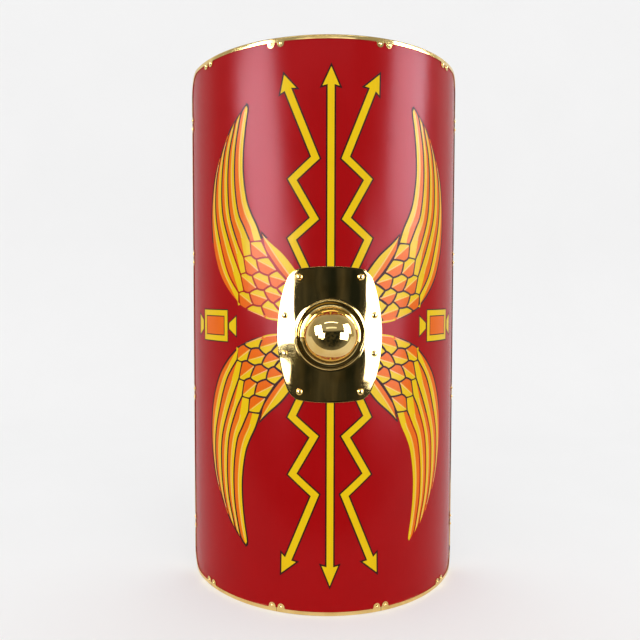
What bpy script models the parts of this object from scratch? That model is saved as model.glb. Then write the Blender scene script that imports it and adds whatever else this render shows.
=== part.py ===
"""Curved rectangular infantry shield: bent board, riveted brass edging, brass boss and wooden hand grip.

The board, its edging and the boss plate are laid out flat, as a blank would be, and then bent together round
one form.  In the flat layout X is the distance round the curve, -Y is the outward side and Z is up.
"""
import math

import bmesh
import bpy
from mathutils import Matrix, Vector

# Whole shield, metres
HEIGHT = 1.040
HALF_ARC = 0.370
HALF_ANGLE = math.radians(74.0)
CORNER_RADIUS = 0.050
FACETS = 27
GAP = 0.0003

# Board
BOARD_THICKNESS = 0.0070
HAND_HOLE_RADIUS = 0.0560
HAND_HOLE_SIDES = 28

# Brass edging: a channel folded over the board's edge, in strips with a riveted ear at each end
SHEET = 0.0012
CHANNEL_WIDTH = 0.0080
CHANNEL_CHAMFER = 0.0018
STRIP_GAP = 0.0006
EAR_RADIUS = 0.0065
EAR_INSET = 0.0110
EAR_FROM_END = 0.00875
EAR_SHOULDER = 0.0168
EAR_TUCK = 12.0
EAR_STEPS = 5
END_WIDTH = 0.0088
TRIM = 0.0030
CORNER_STEPS = 5
TOP_JOINTS = (0.098, 0.264)
SIDE_JOINTS = (0.142, 0.418)

# Boss: a plate bent to the shield's curve with a hollow turned dome on it
BOSS_DROP = 0.006
BOSS_HALF_WIDTH = 0.096
BOSS_HALF_HEIGHT = 0.1205
BOSS_SIDE_RADIUS = 0.273
BOSS_CORNER_RADIUS = 0.037
BOSS_SHEET = 0.0015
COLLAR_RADIUS = 0.0625
COLLAR_HEIGHT = 0.0095
COLLAR_ROUNDING = 0.0022
DOME_RADIUS = 0.0495
DOME_APEX = 0.0600
COVE_RADIUS = 0.0070
DOME_STEPS = 24

# Rivets: outline of the head, shank and peened back, with the places of the eight in the boss plate
EDGE_RIVET_HEAD = 0.0026
EDGE_RIVET_RISE = 0.0016
EDGE_SHANK = 0.0015
BOSS_RIVET_HEAD = 0.0060
BOSS_RIVET_RISE = 0.0040
BOSS_SHANK = 0.0022
BOSS_RIVETS_OUTER = (0.0550, 0.1030)
BOSS_RIVETS_SIDE = (0.0815, 0.0345)
HOLE_CLEARANCE = 0.0004
RIVET_SIDES = 6
BOSS_RIVET_SIDES = 8
PEENED_FACE = 0.0008

# Hand grip
GRIP_BAR_HALF_HEIGHT = 0.0170
GRIP_FOOT_HALF_HEIGHT = 0.0450
GRIP_HALF_LENGTH = 0.0980
GRIP_FOOT_LENGTH = 0.0340
GRIP_NECK_HALF_LENGTH = 0.0460
GRIP_DEPTH = 0.0300
GRIP_BEVEL = 0.0035
GRIP_SCREW_DEPTH = 0.0060

# Derived sizes
FORM_RADIUS = HALF_ARC / HALF_ANGLE
FACET_WIDTH = 2.0 * HALF_ARC / FACETS
FACET_ANGLE = 2.0 * HALF_ANGLE / FACETS
HALF_HEIGHT = 0.5 * HEIGHT
EDGE_FRONT = GAP + SHEET
EDGE_BACK = -BOARD_THICKNESS - GAP - SHEET
FRONT_REACH = FORM_RADIUS + DOME_APEX
BACK_REACH = (FORM_RADIUS + EDGE_BACK + CHANNEL_CHAMFER) * math.cos(HALF_ANGLE)
AXIS_Y = 0.5 * (FRONT_REACH + BACK_REACH)
BOSS_CENTRE = HALF_HEIGHT - BOSS_DROP
FLAT_ANGLE = math.radians(0.5)
MERGE_DISTANCE = 0.00001

COLOURS = {
    "painted_board": ((0.36, 0.012, 0.014, 1.0), 0.38, 0.0),
    "edging_brass": ((0.76, 0.56, 0.24, 1.0), 0.18, 1.0),
    "boss_brass": ((0.80, 0.60, 0.28, 1.0), 0.08, 1.0),
    "rivet_brass": ((0.72, 0.54, 0.24, 1.0), 0.20, 1.0),
    "grip_wood": ((0.30, 0.16, 0.07, 1.0), 0.55, 0.0),
}


def clear_scene():
    """Remove every object of the starting scene."""
    for obj in list(bpy.data.objects):
        bpy.data.objects.remove(obj, do_unlink=True)


def new_collection(name):
    """Make a collection and link it to the scene."""
    collection = bpy.data.collections.new(name)
    bpy.context.scene.collection.children.link(collection)
    return collection


def make_material(name):
    """Make one Principled material from the table of colours."""
    colour, roughness, metallic = COLOURS[name]
    material = bpy.data.materials.new(name)
    material.use_nodes = True
    shader = material.node_tree.nodes["Principled BSDF"]
    shader.inputs["Base Color"].default_value = colour
    shader.inputs["Roughness"].default_value = roughness
    shader.inputs["Metallic"].default_value = metallic
    return material


def add_object(name, mesh, collection, material=None):
    """Put a mesh in the scene as a named object."""
    obj = bpy.data.objects.new(name, mesh)
    collection.objects.link(obj)
    if material:
        obj.data.materials.clear()
        obj.data.materials.append(material)
    return obj


def add_cutter(name, mesh, collection):
    """Put a mesh in the scene as a cutter, drawn as wire."""
    obj = add_object(name, mesh, collection)
    obj.hide_render = True
    obj.display_type = "WIRE"
    return obj


def polygon(centre, radius, sides, turn=0.0):
    """Corners of a regular polygon round a point of the flat layout."""
    corners = []
    for index in range(sides):
        angle = turn + 2.0 * math.pi * index / sides
        corners.append((centre[0] + radius * math.cos(angle), centre[1] + radius * math.sin(angle)))
    return corners


def arc(centre, radius, start, end, steps):
    """Points along an arc, both ends included; angles in degrees."""
    points = []
    for index in range(steps + 1):
        angle = math.radians(start + (end - start) * index / steps)
        points.append((centre[0] + radius * math.cos(angle), centre[1] + radius * math.sin(angle)))
    return points


def flat_plate(name, outlines, front, back):
    """Mesh of a flat piece from its outline and any holes in it, between two distances from the board's face."""
    curve = bpy.data.curves.new(name, "CURVE")
    curve.dimensions = "2D"
    curve.fill_mode = "BOTH"
    curve.extrude = 0.5 * (front - back)
    for outline in outlines:
        spline = curve.splines.new("POLY")
        spline.points.add(len(outline) - 1)
        for point, (x, z) in zip(spline.points, outline):
            point.co = (x, z, 0.0, 1.0)
        spline.use_cyclic_u = True
    holder = bpy.data.objects.new(name, curve)
    bpy.context.scene.collection.objects.link(holder)
    bpy.context.view_layer.update()
    mesh = bpy.data.meshes.new_from_object(holder.evaluated_get(bpy.context.evaluated_depsgraph_get()))
    bpy.data.objects.remove(holder, do_unlink=True)
    upright = Matrix.Rotation(math.radians(90.0), 4, "X")
    mesh.transform(upright @ Matrix.Translation((0.0, 0.0, 0.5 * (front + back))))
    weld_flat(mesh)
    return mesh


def weld_flat(mesh):
    """Weld a flat piece's caps to its sides and turn its faces outward."""
    bm = bmesh.new()
    bm.from_mesh(mesh)
    bmesh.ops.remove_doubles(bm, verts=bm.verts[:], dist=MERGE_DISTANCE)
    bmesh.ops.recalc_face_normals(bm, faces=bm.faces[:])
    bm.to_mesh(mesh)
    bm.free()


def bent_point(flat):
    """Place of a flat layout point on the bent shield; every piece bends along the same facet lines."""
    radius = FORM_RADIUS - flat.y
    facet = math.floor(flat.x / FACET_WIDTH + 0.5)
    share = flat.x / FACET_WIDTH + 0.5 - facet
    first = (facet - 0.5) * FACET_ANGLE
    second = first + FACET_ANGLE
    x = radius * ((1.0 - share) * math.sin(first) + share * math.sin(second))
    y = AXIS_Y - radius * ((1.0 - share) * math.cos(first) + share * math.cos(second))
    return Vector((x, y, flat.z + HALF_HEIGHT))


def bend_round_form(mesh):
    """Crease a flat piece at every facet line and bend it round the form."""
    bm = bmesh.new()
    bm.from_mesh(mesh)
    for index in range(1, FACETS):
        line = (index - 0.5 * FACETS) * FACET_WIDTH
        geometry = bm.verts[:] + bm.edges[:] + bm.faces[:]
        bmesh.ops.bisect_plane(bm, geom=geometry, dist=0.000001, plane_co=(line, 0.0, 0.0), plane_no=(1.0, 0.0, 0.0))
    for vertex in bm.verts:
        vertex.co = bent_point(vertex.co)
    bm.to_mesh(mesh)
    bm.free()
    merge_flat_faces(mesh)


def merge_flat_faces(mesh):
    """Merge needless corners and faces that lie in one plane, then split what is left into triangles."""
    bm = bmesh.new()
    bm.from_mesh(mesh)
    bmesh.ops.remove_doubles(bm, verts=bm.verts[:], dist=MERGE_DISTANCE)
    bmesh.ops.dissolve_degenerate(bm, dist=MERGE_DISTANCE, edges=bm.edges[:])
    bm.normal_update()
    bmesh.ops.dissolve_limit(bm, angle_limit=FLAT_ANGLE, verts=bm.verts[:], edges=bm.edges[:])
    bmesh.ops.triangulate(bm, faces=bm.faces[:])
    bm.to_mesh(mesh)
    bm.free()


def evaluated_mesh(obj):
    """Mesh of an object with its modifiers applied."""
    bpy.context.view_layer.update()
    return bpy.data.meshes.new_from_object(obj.evaluated_get(bpy.context.evaluated_depsgraph_get()))


def apply_modifiers(obj):
    """Replace an object's mesh by its evaluated one."""
    mesh = evaluated_mesh(obj)
    obj.modifiers.clear()
    obj.data = mesh


def combine(obj, other, operation):
    """Join, cut or trim an object with another closed shape."""
    modifier = obj.modifiers.new(other.name, "BOOLEAN")
    modifier.operation = operation
    modifier.solver = "EXACT"
    modifier.object = other


def turned_mesh(name, profile, sides):
    """Mesh turned about Z from a profile of radius and height, given from its top axis point to its lowest."""
    mesh = bpy.data.meshes.new(name)
    points = [(radius, 0.0, height) for radius, height in profile]
    edges = [(index, index + 1) for index in range(len(points) - 1)]
    mesh.from_pydata(points, edges, [])
    holder = bpy.data.objects.new(name, mesh)
    bpy.context.scene.collection.objects.link(holder)
    screw = holder.modifiers.new("turn", "SCREW")
    screw.steps = sides
    screw.render_steps = sides
    screw.use_merge_vertices = True
    screw.merge_threshold = 0.00001
    turned = evaluated_mesh(holder)
    bpy.data.objects.remove(holder, do_unlink=True)
    turned.shade_smooth()
    turned.set_sharp_from_angle(angle=math.radians(40.0))
    return turned


def rounded_outline(inset):
    """The shield's flat outline with round corners, drawn in by a distance."""
    half_width = HALF_ARC - inset
    half_height = HALF_HEIGHT - inset
    radius = CORNER_RADIUS - inset
    outline = []
    for index, (side_x, side_z) in enumerate(((1, 1), (-1, 1), (-1, -1), (1, -1))):
        centre = (side_x * (half_width - radius), side_z * (half_height - radius))
        outline += arc(centre, radius, 90.0 * index, 90.0 * index + 90.0, CORNER_STEPS)
    return outline


def boss_outline():
    """Outline of the boss plate: straight ends, bowed sides and round corners."""
    drop = BOSS_SIDE_RADIUS - BOSS_CORNER_RADIUS
    corner_z = BOSS_HALF_HEIGHT - BOSS_CORNER_RADIUS
    corner_x = math.sqrt(drop * drop - corner_z * corner_z) - BOSS_SIDE_RADIUS + BOSS_HALF_WIDTH
    side_x = BOSS_HALF_WIDTH - BOSS_SIDE_RADIUS
    turn = math.degrees(math.asin(corner_z / drop))
    quarter = arc((corner_x, corner_z), BOSS_CORNER_RADIUS, 90.0, turn, 6)
    quarter += arc((side_x, 0.0), BOSS_SIDE_RADIUS, turn, 0.0, 4)[1:]
    right = quarter + [(x, -z) for x, z in reversed(quarter[:-1])]
    left = [(-x, z) for x, z in reversed(right)]
    return [(x, z - BOSS_DROP) for x, z in right + left]


def edge_joints():
    """Joints of the edging in order round the shield, as points of the outline with the way along it."""
    inner, outer = TOP_JOINTS
    low, high = SIDE_JOINTS
    top = [((x, HALF_HEIGHT), (-1.0, 0.0)) for x in (outer, inner, -inner, -outer)]
    left = [((-HALF_ARC, z), (0.0, -1.0)) for z in (high, low, -low, -high)]
    bottom = [((x, -HALF_HEIGHT), (1.0, 0.0)) for x in (-outer, -inner, inner, outer)]
    right = [((HALF_ARC, z), (0.0, 1.0)) for z in (-high, -low, low, high)]
    return top + left + bottom + right


def along(place, way, distance, inset):
    """Point at a distance along the outline from a place on it, and in from the edge."""
    inward = (-way[1], way[0])
    x = place[0] + way[0] * distance + inward[0] * inset
    z = place[1] + way[1] * distance + inward[1] * inset
    return (x, z)


def ear_points(place, way, sign):
    """Round ear on a strip's inner side, from its far shoulder; sign +1 lies ahead of the joint, -1 behind it."""
    points = [along(place, way, sign * EAR_SHOULDER, CHANNEL_WIDTH)]
    for step in range(EAR_STEPS + 1):
        angle = math.radians(-EAR_TUCK + (180.0 + 2.0 * EAR_TUCK) * step / EAR_STEPS)
        distance = sign * (EAR_FROM_END + EAR_RADIUS * math.cos(angle))
        points.append(along(place, way, distance, EAR_INSET + EAR_RADIUS * math.sin(angle)))
    return points


def strip_outline(start, end):
    """Flat outline of one strip's blank between two joints, with its ears; it is trimmed to the edging body."""
    (start_place, start_way), (end_place, end_way) = start, end
    half_gap = 0.5 * STRIP_GAP
    outer = [along(start_place, start_way, half_gap, -TRIM)]
    inner = [along(start_place, start_way, half_gap, END_WIDTH)]
    inner += list(reversed(ear_points(start_place, start_way, 1.0)))
    if start_way != end_way:
        side_x = math.copysign(HALF_ARC - CORNER_RADIUS, start_place[0] + end_place[0])
        side_z = math.copysign(HALF_HEIGHT - CORNER_RADIUS, start_place[1] + end_place[1])
        first = math.degrees(math.atan2(-start_way[0], start_way[1]))
        outer += arc((side_x, side_z), CORNER_RADIUS + TRIM, first, first + 90.0, CORNER_STEPS)
        inner += arc((side_x, side_z), CORNER_RADIUS - CHANNEL_WIDTH, first, first + 90.0, CORNER_STEPS)
    outer.append(along(end_place, end_way, -half_gap, -TRIM))
    inner += ear_points(end_place, end_way, -1.0)
    inner.append(along(end_place, end_way, -half_gap, END_WIDTH))
    return outer + list(reversed(inner))


def edging_body():
    """The whole edging as a solid slab of the shield's outline, its long outer edges eased by the fold."""
    mesh = flat_plate("edge_body", [rounded_outline(0.0)], EDGE_FRONT, EDGE_BACK)
    bm = bmesh.new()
    bm.from_mesh(mesh)
    bmesh.ops.dissolve_limit(bm, angle_limit=FLAT_ANGLE, verts=bm.verts[:], edges=bm.edges[:])
    edges = [edge for edge in bm.edges if abs(edge.verts[0].co.y - edge.verts[1].co.y) < MERGE_DISTANCE]
    bmesh.ops.bevel(bm, geom=edges, offset=CHANNEL_CHAMFER, segments=1, profile=0.5, affect="EDGES")
    bm.to_mesh(mesh)
    bm.free()
    return mesh


def edge_rivet_places():
    """Flat layout places of the edging rivets, one in every ear."""
    places = []
    for place, way in edge_joints():
        for sign in (-1.0, 1.0):
            places.append(along(place, way, sign * EAR_FROM_END, EAR_INSET))
    return places


def boss_rivet_places():
    """Flat layout places of the boss rivets: four in the plate's corners, then the four at its sides."""
    places = []
    for half_width, half_height in (BOSS_RIVETS_OUTER, BOSS_RIVETS_SIDE):
        for sign_x in (-1, 1):
            for sign_z in (1, -1):
                places.append((sign_x * half_width, sign_z * half_height - BOSS_DROP))
    return places


def edge_rivet_profile():
    """Half section of an edging rivet that is peened over behind the board."""
    head_base = EDGE_FRONT + GAP
    back_top = EDGE_BACK - GAP
    profile = [(0.0, head_base + EDGE_RIVET_RISE)]
    profile.append((0.70 * EDGE_RIVET_HEAD, head_base + 0.70 * EDGE_RIVET_RISE))
    profile.append((EDGE_RIVET_HEAD, head_base))
    profile.append((EDGE_SHANK, head_base))
    profile.append((EDGE_SHANK, back_top))
    profile.append((EDGE_RIVET_HEAD, back_top))
    profile.append((0.0, back_top - PEENED_FACE))
    return profile


def boss_rivet_profile(peened):
    """Half section of a boss rivet, peened behind the board or running into the wooden grip."""
    head_base = 2.0 * GAP + BOSS_SHEET
    back_top = -BOARD_THICKNESS - GAP
    profile = [(0.0, head_base + BOSS_RIVET_RISE)]
    for angle in (30.0, 60.0):
        radius = BOSS_RIVET_HEAD * math.sin(math.radians(angle))
        profile.append((radius, head_base + BOSS_RIVET_RISE * math.cos(math.radians(angle))))
    profile.append((BOSS_RIVET_HEAD, head_base))
    profile.append((BOSS_SHANK, head_base))
    if peened:
        profile.append((BOSS_SHANK, back_top))
        profile.append((2.2 * BOSS_SHANK, back_top))
        profile.append((2.2 * BOSS_SHANK, back_top - PEENED_FACE))
        profile.append((0.0, back_top - PEENED_FACE))
        return profile
    profile.append((BOSS_SHANK, back_top - GRIP_SCREW_DEPTH))
    profile.append((0.0, back_top - GRIP_SCREW_DEPTH))
    return profile


def stand_on_facet(place):
    """Matrix that puts a turned piece at a flat layout place, its axis along the facet's outward way."""
    facet = math.floor(place[0] / FACET_WIDTH + 0.5)
    spot = bent_point(Vector((place[0], 0.0, place[1])))
    outward = Matrix.Rotation(math.radians(90.0), 4, "X")
    return Matrix.Translation(spot) @ Matrix.Rotation(facet * FACET_ANGLE, 4, "Z") @ outward


def hole_rings(places, shank, sides):
    """Outlines of clearance holes for shanks, turned as the turned shanks are."""
    radius = shank + HOLE_CLEARANCE
    return [polygon(place, radius, sides) for place in places]


def make_board(parts, material):
    """The bent board, with the hand hole behind the boss and its rivet holes."""
    hand_hole = polygon((0.0, -BOSS_DROP), HAND_HOLE_RADIUS, HAND_HOLE_SIDES)
    outlines = [rounded_outline(SHEET + GAP), hand_hole]
    outlines += hole_rings(edge_rivet_places(), EDGE_SHANK, RIVET_SIDES)
    outlines += hole_rings(boss_rivet_places(), BOSS_SHANK, BOSS_RIVET_SIDES)
    mesh = flat_plate("board", outlines, 0.0, -BOARD_THICKNESS)
    bend_round_form(mesh)
    return add_object("board", mesh, parts, material)


def strip_name(index):
    """Node name of an edging strip: its side of the shield and its number along that side."""
    sides = ("top", "left", "bottom", "right")
    side, number = divmod(index, 4)
    if number == 3:
        return "edge_corner_%s_%s" % (sides[side], sides[(side + 1) % 4])
    return "edge_%s_%d" % (sides[side], number + 1)


def make_edging(parts, cutters, material):
    """Sixteen channel strips round the board's edge."""
    slot_mesh = flat_plate("edge_slot", [rounded_outline(SHEET)], GAP, -BOARD_THICKNESS - GAP)
    slot = add_cutter("edge_slot", slot_mesh, cutters)
    body = add_cutter("edge_body", edging_body(), cutters)
    joints = edge_joints()
    places = edge_rivet_places()
    count = len(joints)
    for index in range(count):
        following = (index + 1) % count
        outline = strip_outline(joints[index], joints[following])
        holes = hole_rings([places[2 * index + 1], places[2 * following]], EDGE_SHANK, RIVET_SIDES)
        mesh = flat_plate("strip", [outline] + holes, EDGE_FRONT + TRIM, EDGE_BACK - TRIM)
        strip = add_object(strip_name(index), mesh, parts, material)
        combine(strip, body, "INTERSECT")
        combine(strip, slot, "DIFFERENCE")
        apply_modifiers(strip)
        bend_round_form(strip.data)


def dome_profile(inset):
    """Half section of the boss dome from its tip down to the collar's wall, drawn in by a distance."""
    centre = DOME_APEX - DOME_RADIUS
    dome_radius = DOME_RADIUS - inset
    crest = COLLAR_RADIUS - COLLAR_ROUNDING
    cove_radius = COVE_RADIUS + inset
    cove_height = COLLAR_HEIGHT + COVE_RADIUS
    cove_centre = math.sqrt((DOME_RADIUS + COVE_RADIUS) ** 2 - (cove_height - centre) ** 2)
    meet = math.degrees(math.atan2(cove_height - centre, cove_centre))
    profile = [(0.0, centre + dome_radius)]
    profile += arc((0.0, centre), dome_radius, 90.0, meet, 7)[1:]
    profile += arc((cove_centre, cove_height), cove_radius, 180.0 + meet, 270.0, 3)[1:]
    rounding = COLLAR_ROUNDING - 0.5 * inset
    profile += arc((crest, COLLAR_HEIGHT - inset - rounding), rounding, 90.0, 0.0, 2)
    return [(radius if radius > 0.00001 else 0.0, height) for radius, height in profile]


def make_boss(parts, cutters, material):
    """The boss: a bent plate and a hollow dome in one piece of brass."""
    slack = 0.020
    outlines = [boss_outline()] + hole_rings(boss_rivet_places(), BOSS_SHANK, BOSS_RIVET_SIDES)
    block = flat_plate("boss", outlines, GAP + BOSS_SHEET, -slack)
    bend_round_form(block)
    boss = add_object("boss", block, parts, material)

    seat = Matrix.Translation((0.0, AXIS_Y - FORM_RADIUS, BOSS_CENTRE)) @ Matrix.Rotation(math.radians(90.0), 4, "X")
    outside = dome_profile(0.0)
    outside += [(COLLAR_RADIUS, -0.5 * slack), (0.0, -0.5 * slack)]
    dome = add_cutter("boss_dome", turned_mesh("boss_dome", outside, DOME_STEPS), cutters)
    dome.matrix_world = seat
    inside = dome_profile(BOSS_SHEET)
    wall = inside[-1][0]
    inside += [(wall, -2.0 * slack), (0.0, -2.0 * slack)]
    hollow = add_cutter("boss_hollow", turned_mesh("boss_hollow", inside, DOME_STEPS), cutters)
    hollow.matrix_world = seat

    behind_outline = [(-0.15, -0.2), (0.15, -0.2), (0.15, 0.2), (-0.15, 0.2)]
    behind_mesh = flat_plate("boss_behind", [behind_outline], GAP, -1.5 * slack)
    bend_round_form(behind_mesh)
    behind = add_cutter("boss_behind", behind_mesh, cutters)

    combine(boss, dome, "UNION")
    combine(boss, behind, "DIFFERENCE")
    combine(boss, hollow, "DIFFERENCE")
    apply_modifiers(boss)
    merge_flat_faces(boss.data)
    return boss


def grip_outline():
    """Outline of the grip seen from behind: a bar that widens into a foot at each end."""
    neck = GRIP_HALF_LENGTH - GRIP_FOOT_LENGTH
    corner = 0.010
    quarter = [(GRIP_NECK_HALF_LENGTH, GRIP_BAR_HALF_HEIGHT), (neck, GRIP_FOOT_HALF_HEIGHT - corner)]
    quarter += [(neck + corner, GRIP_FOOT_HALF_HEIGHT)]
    quarter += arc((GRIP_HALF_LENGTH - corner, GRIP_FOOT_HALF_HEIGHT - corner), corner, 90.0, 0.0, 3)
    right = quarter + [(x, -z) for x, z in reversed(quarter)]
    left = [(-x, z) for x, z in reversed(right)]
    return [(x, z) for x, z in right + left]


def make_grip(parts, cutters, material):
    """The wooden grip across the hand hole, straight behind and hollowed to the board in front."""
    front = 0.020
    back_face = -BOARD_THICKNESS - GAP - GRIP_DEPTH
    mesh = flat_plate("grip", [grip_outline()], front, back_face)
    mesh.transform(Matrix.Translation((0.0, AXIS_Y - FORM_RADIUS, BOSS_CENTRE)))
    grip = add_object("grip", mesh, parts, material)
    space_outline = [(-0.15, -0.15), (0.15, -0.15), (0.15, 0.15), (-0.15, 0.15)]
    space_mesh = flat_plate("grip_seat", [space_outline], 2.0 * front, -BOARD_THICKNESS - GAP)
    bend_round_form(space_mesh)
    seat = add_cutter("grip_seat", space_mesh, cutters)
    bevel = grip.modifiers.new("rounding", "BEVEL")
    bevel.width = GRIP_BEVEL
    bevel.segments = 2
    bevel.limit_method = "ANGLE"
    bevel.angle_limit = math.radians(40.0)
    combine(grip, seat, "DIFFERENCE")
    hole_radius = BOSS_SHANK + HOLE_CLEARANCE
    reach = -BOARD_THICKNESS - 2.0 * GAP - GRIP_SCREW_DEPTH
    profile = [(0.0, 0.001), (hole_radius, 0.001), (hole_radius, reach), (0.0, reach)]
    bore = turned_mesh("grip_bore", profile, BOSS_RIVET_SIDES)
    for number, place in enumerate(boss_rivet_places()[4:], start=1):
        drill = add_cutter("grip_bore_%d" % number, bore, cutters)
        drill.matrix_world = stand_on_facet(place)
        combine(grip, drill, "DIFFERENCE")
    return grip


def make_rivets(parts, material):
    """Every rivet: one in each ear of the edging and eight in the boss plate."""
    edge_mesh = turned_mesh("edge_rivet", edge_rivet_profile(), RIVET_SIDES)
    for number, place in enumerate(edge_rivet_places(), start=1):
        rivet = add_object("edge_rivet_%02d" % number, edge_mesh, parts, material)
        rivet.matrix_world = stand_on_facet(place)
    peened_mesh = turned_mesh("boss_rivet", boss_rivet_profile(True), BOSS_RIVET_SIDES)
    grip_mesh = turned_mesh("grip_rivet", boss_rivet_profile(False), BOSS_RIVET_SIDES)
    for number, place in enumerate(boss_rivet_places(), start=1):
        mesh = peened_mesh if number <= 4 else grip_mesh
        rivet = add_object("boss_rivet_%d" % number, mesh, parts, material)
        rivet.matrix_world = stand_on_facet(place)


def main():
    """Build the shield, piece by piece."""
    clear_scene()
    parts = new_collection("scutum_shield")
    cutters = new_collection("cutters")
    materials = {name: make_material(name) for name in COLOURS}
    make_board(parts, materials["painted_board"])
    make_edging(parts, cutters, materials["edging_brass"])
    make_boss(parts, cutters, materials["boss_brass"])
    make_grip(parts, cutters, materials["grip_wood"])
    make_rivets(parts, materials["rivet_brass"])


main()
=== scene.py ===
"""Curved rectangular infantry shield: painted board, riveted brass edging, domed brass boss and wooden grip.

Everything that is bent is first laid out flat, as its blank would be: X is the distance round the curve, -Y
is outward and Z is up from the middle of the board.  Form.wrap() then bends it round the shield's cylinder.
"""
from __future__ import annotations

import logging
import math
from contextlib import contextmanager
from dataclasses import dataclass, field, replace
from enum import Enum
from typing import Any, Dict, Iterator, List, Optional, Sequence, Tuple

import bmesh
import bpy
from mathutils import Matrix, Quaternion, Vector


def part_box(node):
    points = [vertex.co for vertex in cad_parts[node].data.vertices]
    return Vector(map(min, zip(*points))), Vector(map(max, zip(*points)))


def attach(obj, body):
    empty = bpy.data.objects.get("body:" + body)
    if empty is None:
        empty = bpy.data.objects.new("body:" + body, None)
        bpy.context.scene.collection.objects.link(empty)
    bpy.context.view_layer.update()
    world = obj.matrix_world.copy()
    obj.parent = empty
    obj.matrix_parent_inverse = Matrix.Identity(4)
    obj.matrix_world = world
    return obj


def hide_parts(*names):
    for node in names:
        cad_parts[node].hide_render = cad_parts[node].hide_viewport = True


Point = Tuple[float, float]
Outline = List[Point]
Colour = Tuple[float, float, float, float]

LOG = logging.getLogger("shield")
MM = 0.001

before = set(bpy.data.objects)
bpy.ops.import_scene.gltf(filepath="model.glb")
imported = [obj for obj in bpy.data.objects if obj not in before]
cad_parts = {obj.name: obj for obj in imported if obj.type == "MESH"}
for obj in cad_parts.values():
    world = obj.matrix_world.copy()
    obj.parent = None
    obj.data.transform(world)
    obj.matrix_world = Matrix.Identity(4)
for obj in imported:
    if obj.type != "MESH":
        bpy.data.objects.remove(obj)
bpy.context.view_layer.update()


# ------------------------------ workshop helpers


def linked(name: str, data: bpy.types.ID) -> bpy.types.Object:
    """Make an object of some data and put it in the scene."""
    obj = bpy.data.objects.new(name, data)
    bpy.context.scene.collection.objects.link(obj)
    return obj


def mesh_object(name: str, shape: bmesh.types.BMesh) -> bpy.types.Object:
    """Turn a shape into an object in the scene, and free the shape."""
    mesh = bpy.data.meshes.new(name)
    shape.to_mesh(mesh)
    shape.free()
    return linked(name, mesh)


def select_only(*objects: bpy.types.Object) -> None:
    """Select these objects and nothing else; the first one is active."""
    bpy.ops.object.select_all(action="DESELECT")
    for obj in objects:
        obj.select_set(True)
    bpy.context.view_layer.objects.active = objects[0]


@contextmanager
def editing(obj: bpy.types.Object) -> Iterator[bmesh.types.BMesh]:
    """Open an object in edit mode with everything deselected.

    Args:
        obj: The mesh object to edit.

    Returns:
        An iterator over the edit mesh, whose flags choose what the operators act on.
    """
    select_only(obj)
    bpy.ops.object.mode_set(mode="EDIT")
    bpy.ops.mesh.select_all(action="DESELECT")
    yield bmesh.from_edit_mesh(obj.data)
    bpy.ops.object.mode_set(mode="OBJECT")


def close_seams(obj: bpy.types.Object, distance: float = 0.01 * MM) -> None:
    """Merge the doubles of a mesh and turn its faces outward."""
    with editing(obj):
        bpy.ops.mesh.select_all(action="SELECT")
        bpy.ops.mesh.remove_doubles(threshold=distance)
        bpy.ops.mesh.normals_make_consistent(inside=False)


def apply_modifiers(obj: bpy.types.Object) -> None:
    """Apply every modifier of an object in order."""
    select_only(obj)
    for modifier in list(obj.modifiers):
        bpy.ops.object.modifier_apply(modifier=modifier.name)


def add_bevel(obj: bpy.types.Object, width: float, segments: int, degrees: float = 60.0) -> None:
    """Give an object a live bevel on the edges that are sharper than an angle."""
    bevel = obj.modifiers.new("rounding", "BEVEL")
    bevel.width = width
    bevel.segments = segments
    bevel.limit_method = "ANGLE"
    bevel.angle_limit = math.radians(degrees)


def combine(obj: bpy.types.Object, other: bpy.types.Object, operation: str) -> None:
    """Join, cut or trim an object with another closed shape, at once.

    Args:
        obj: The object that is changed.
        other: The shape it is combined with.
        operation: UNION, DIFFERENCE or INTERSECT.
    """
    modifier = obj.modifiers.new(other.name, "BOOLEAN")
    modifier.operation = operation
    modifier.solver = "EXACT"
    modifier.object = other
    apply_modifiers(obj)


def discard(*objects: bpy.types.Object) -> None:
    """Remove working shapes that are no part of the shield."""
    for obj in objects:
        bpy.data.objects.remove(obj, do_unlink=True)


def smooth(obj: bpy.types.Object, degrees: float = 35.0) -> None:
    """Shade a piece smooth, with sharp edges above an angle."""
    select_only(obj)
    bpy.ops.object.shade_smooth_by_angle(angle=math.radians(degrees))


def arc(centre: Point, radius: float, start: float, end: float, steps: int) -> Outline:
    """Points along an arc.

    Args:
        centre: Centre of the arc.
        radius: Its radius.
        start: First angle in degrees.
        end: Last angle in degrees.
        steps: Number of steps; both ends are included.

    Returns:
        The points in order.
    """
    angles = [math.radians(start + (end - start) * index / steps) for index in range(steps + 1)]
    return [(centre[0] + radius * math.cos(a), centre[1] + radius * math.sin(a)) for a in angles]


def bezier(knots: Sequence[Point], steps: int) -> Outline:
    """Points along a cubic curve given by its two ends and the two handles between them."""
    (ax, ay), (bx, by), (cx, cy), (dx, dy) = knots
    points = []
    for index in range(steps + 1):
        t = index / steps
        s = 1.0 - t
        a, b, c, d = s * s * s, 3.0 * s * s * t, 3.0 * s * t * t, t * t * t
        points.append((a * ax + b * bx + c * cx + d * dx, a * ay + b * by + c * cy + d * dy))
    return points


def through(points: Sequence[Point], steps: int) -> Outline:
    """A smooth open line through some points, with this many steps between two of them."""
    last = len(points) - 1
    line = []
    for index in range(last):
        p1, p2 = Vector(points[index]), Vector(points[index + 1])
        p0 = Vector(points[index - 1]) if index else p1
        p3 = Vector(points[index + 2]) if index + 2 <= last else p2
        for step in range(steps):
            t = step / steps
            spot = 0.5 * (2.0 * p1 + (p2 - p0) * t + (2.0 * p0 - 5.0 * p1 + 4.0 * p2 - p3) * t * t
                          + (3.0 * p1 - p0 - 3.0 * p2 + p3) * t * t * t)
            line.append((spot.x, spot.y))
    return line + [tuple(points[-1])]


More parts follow.
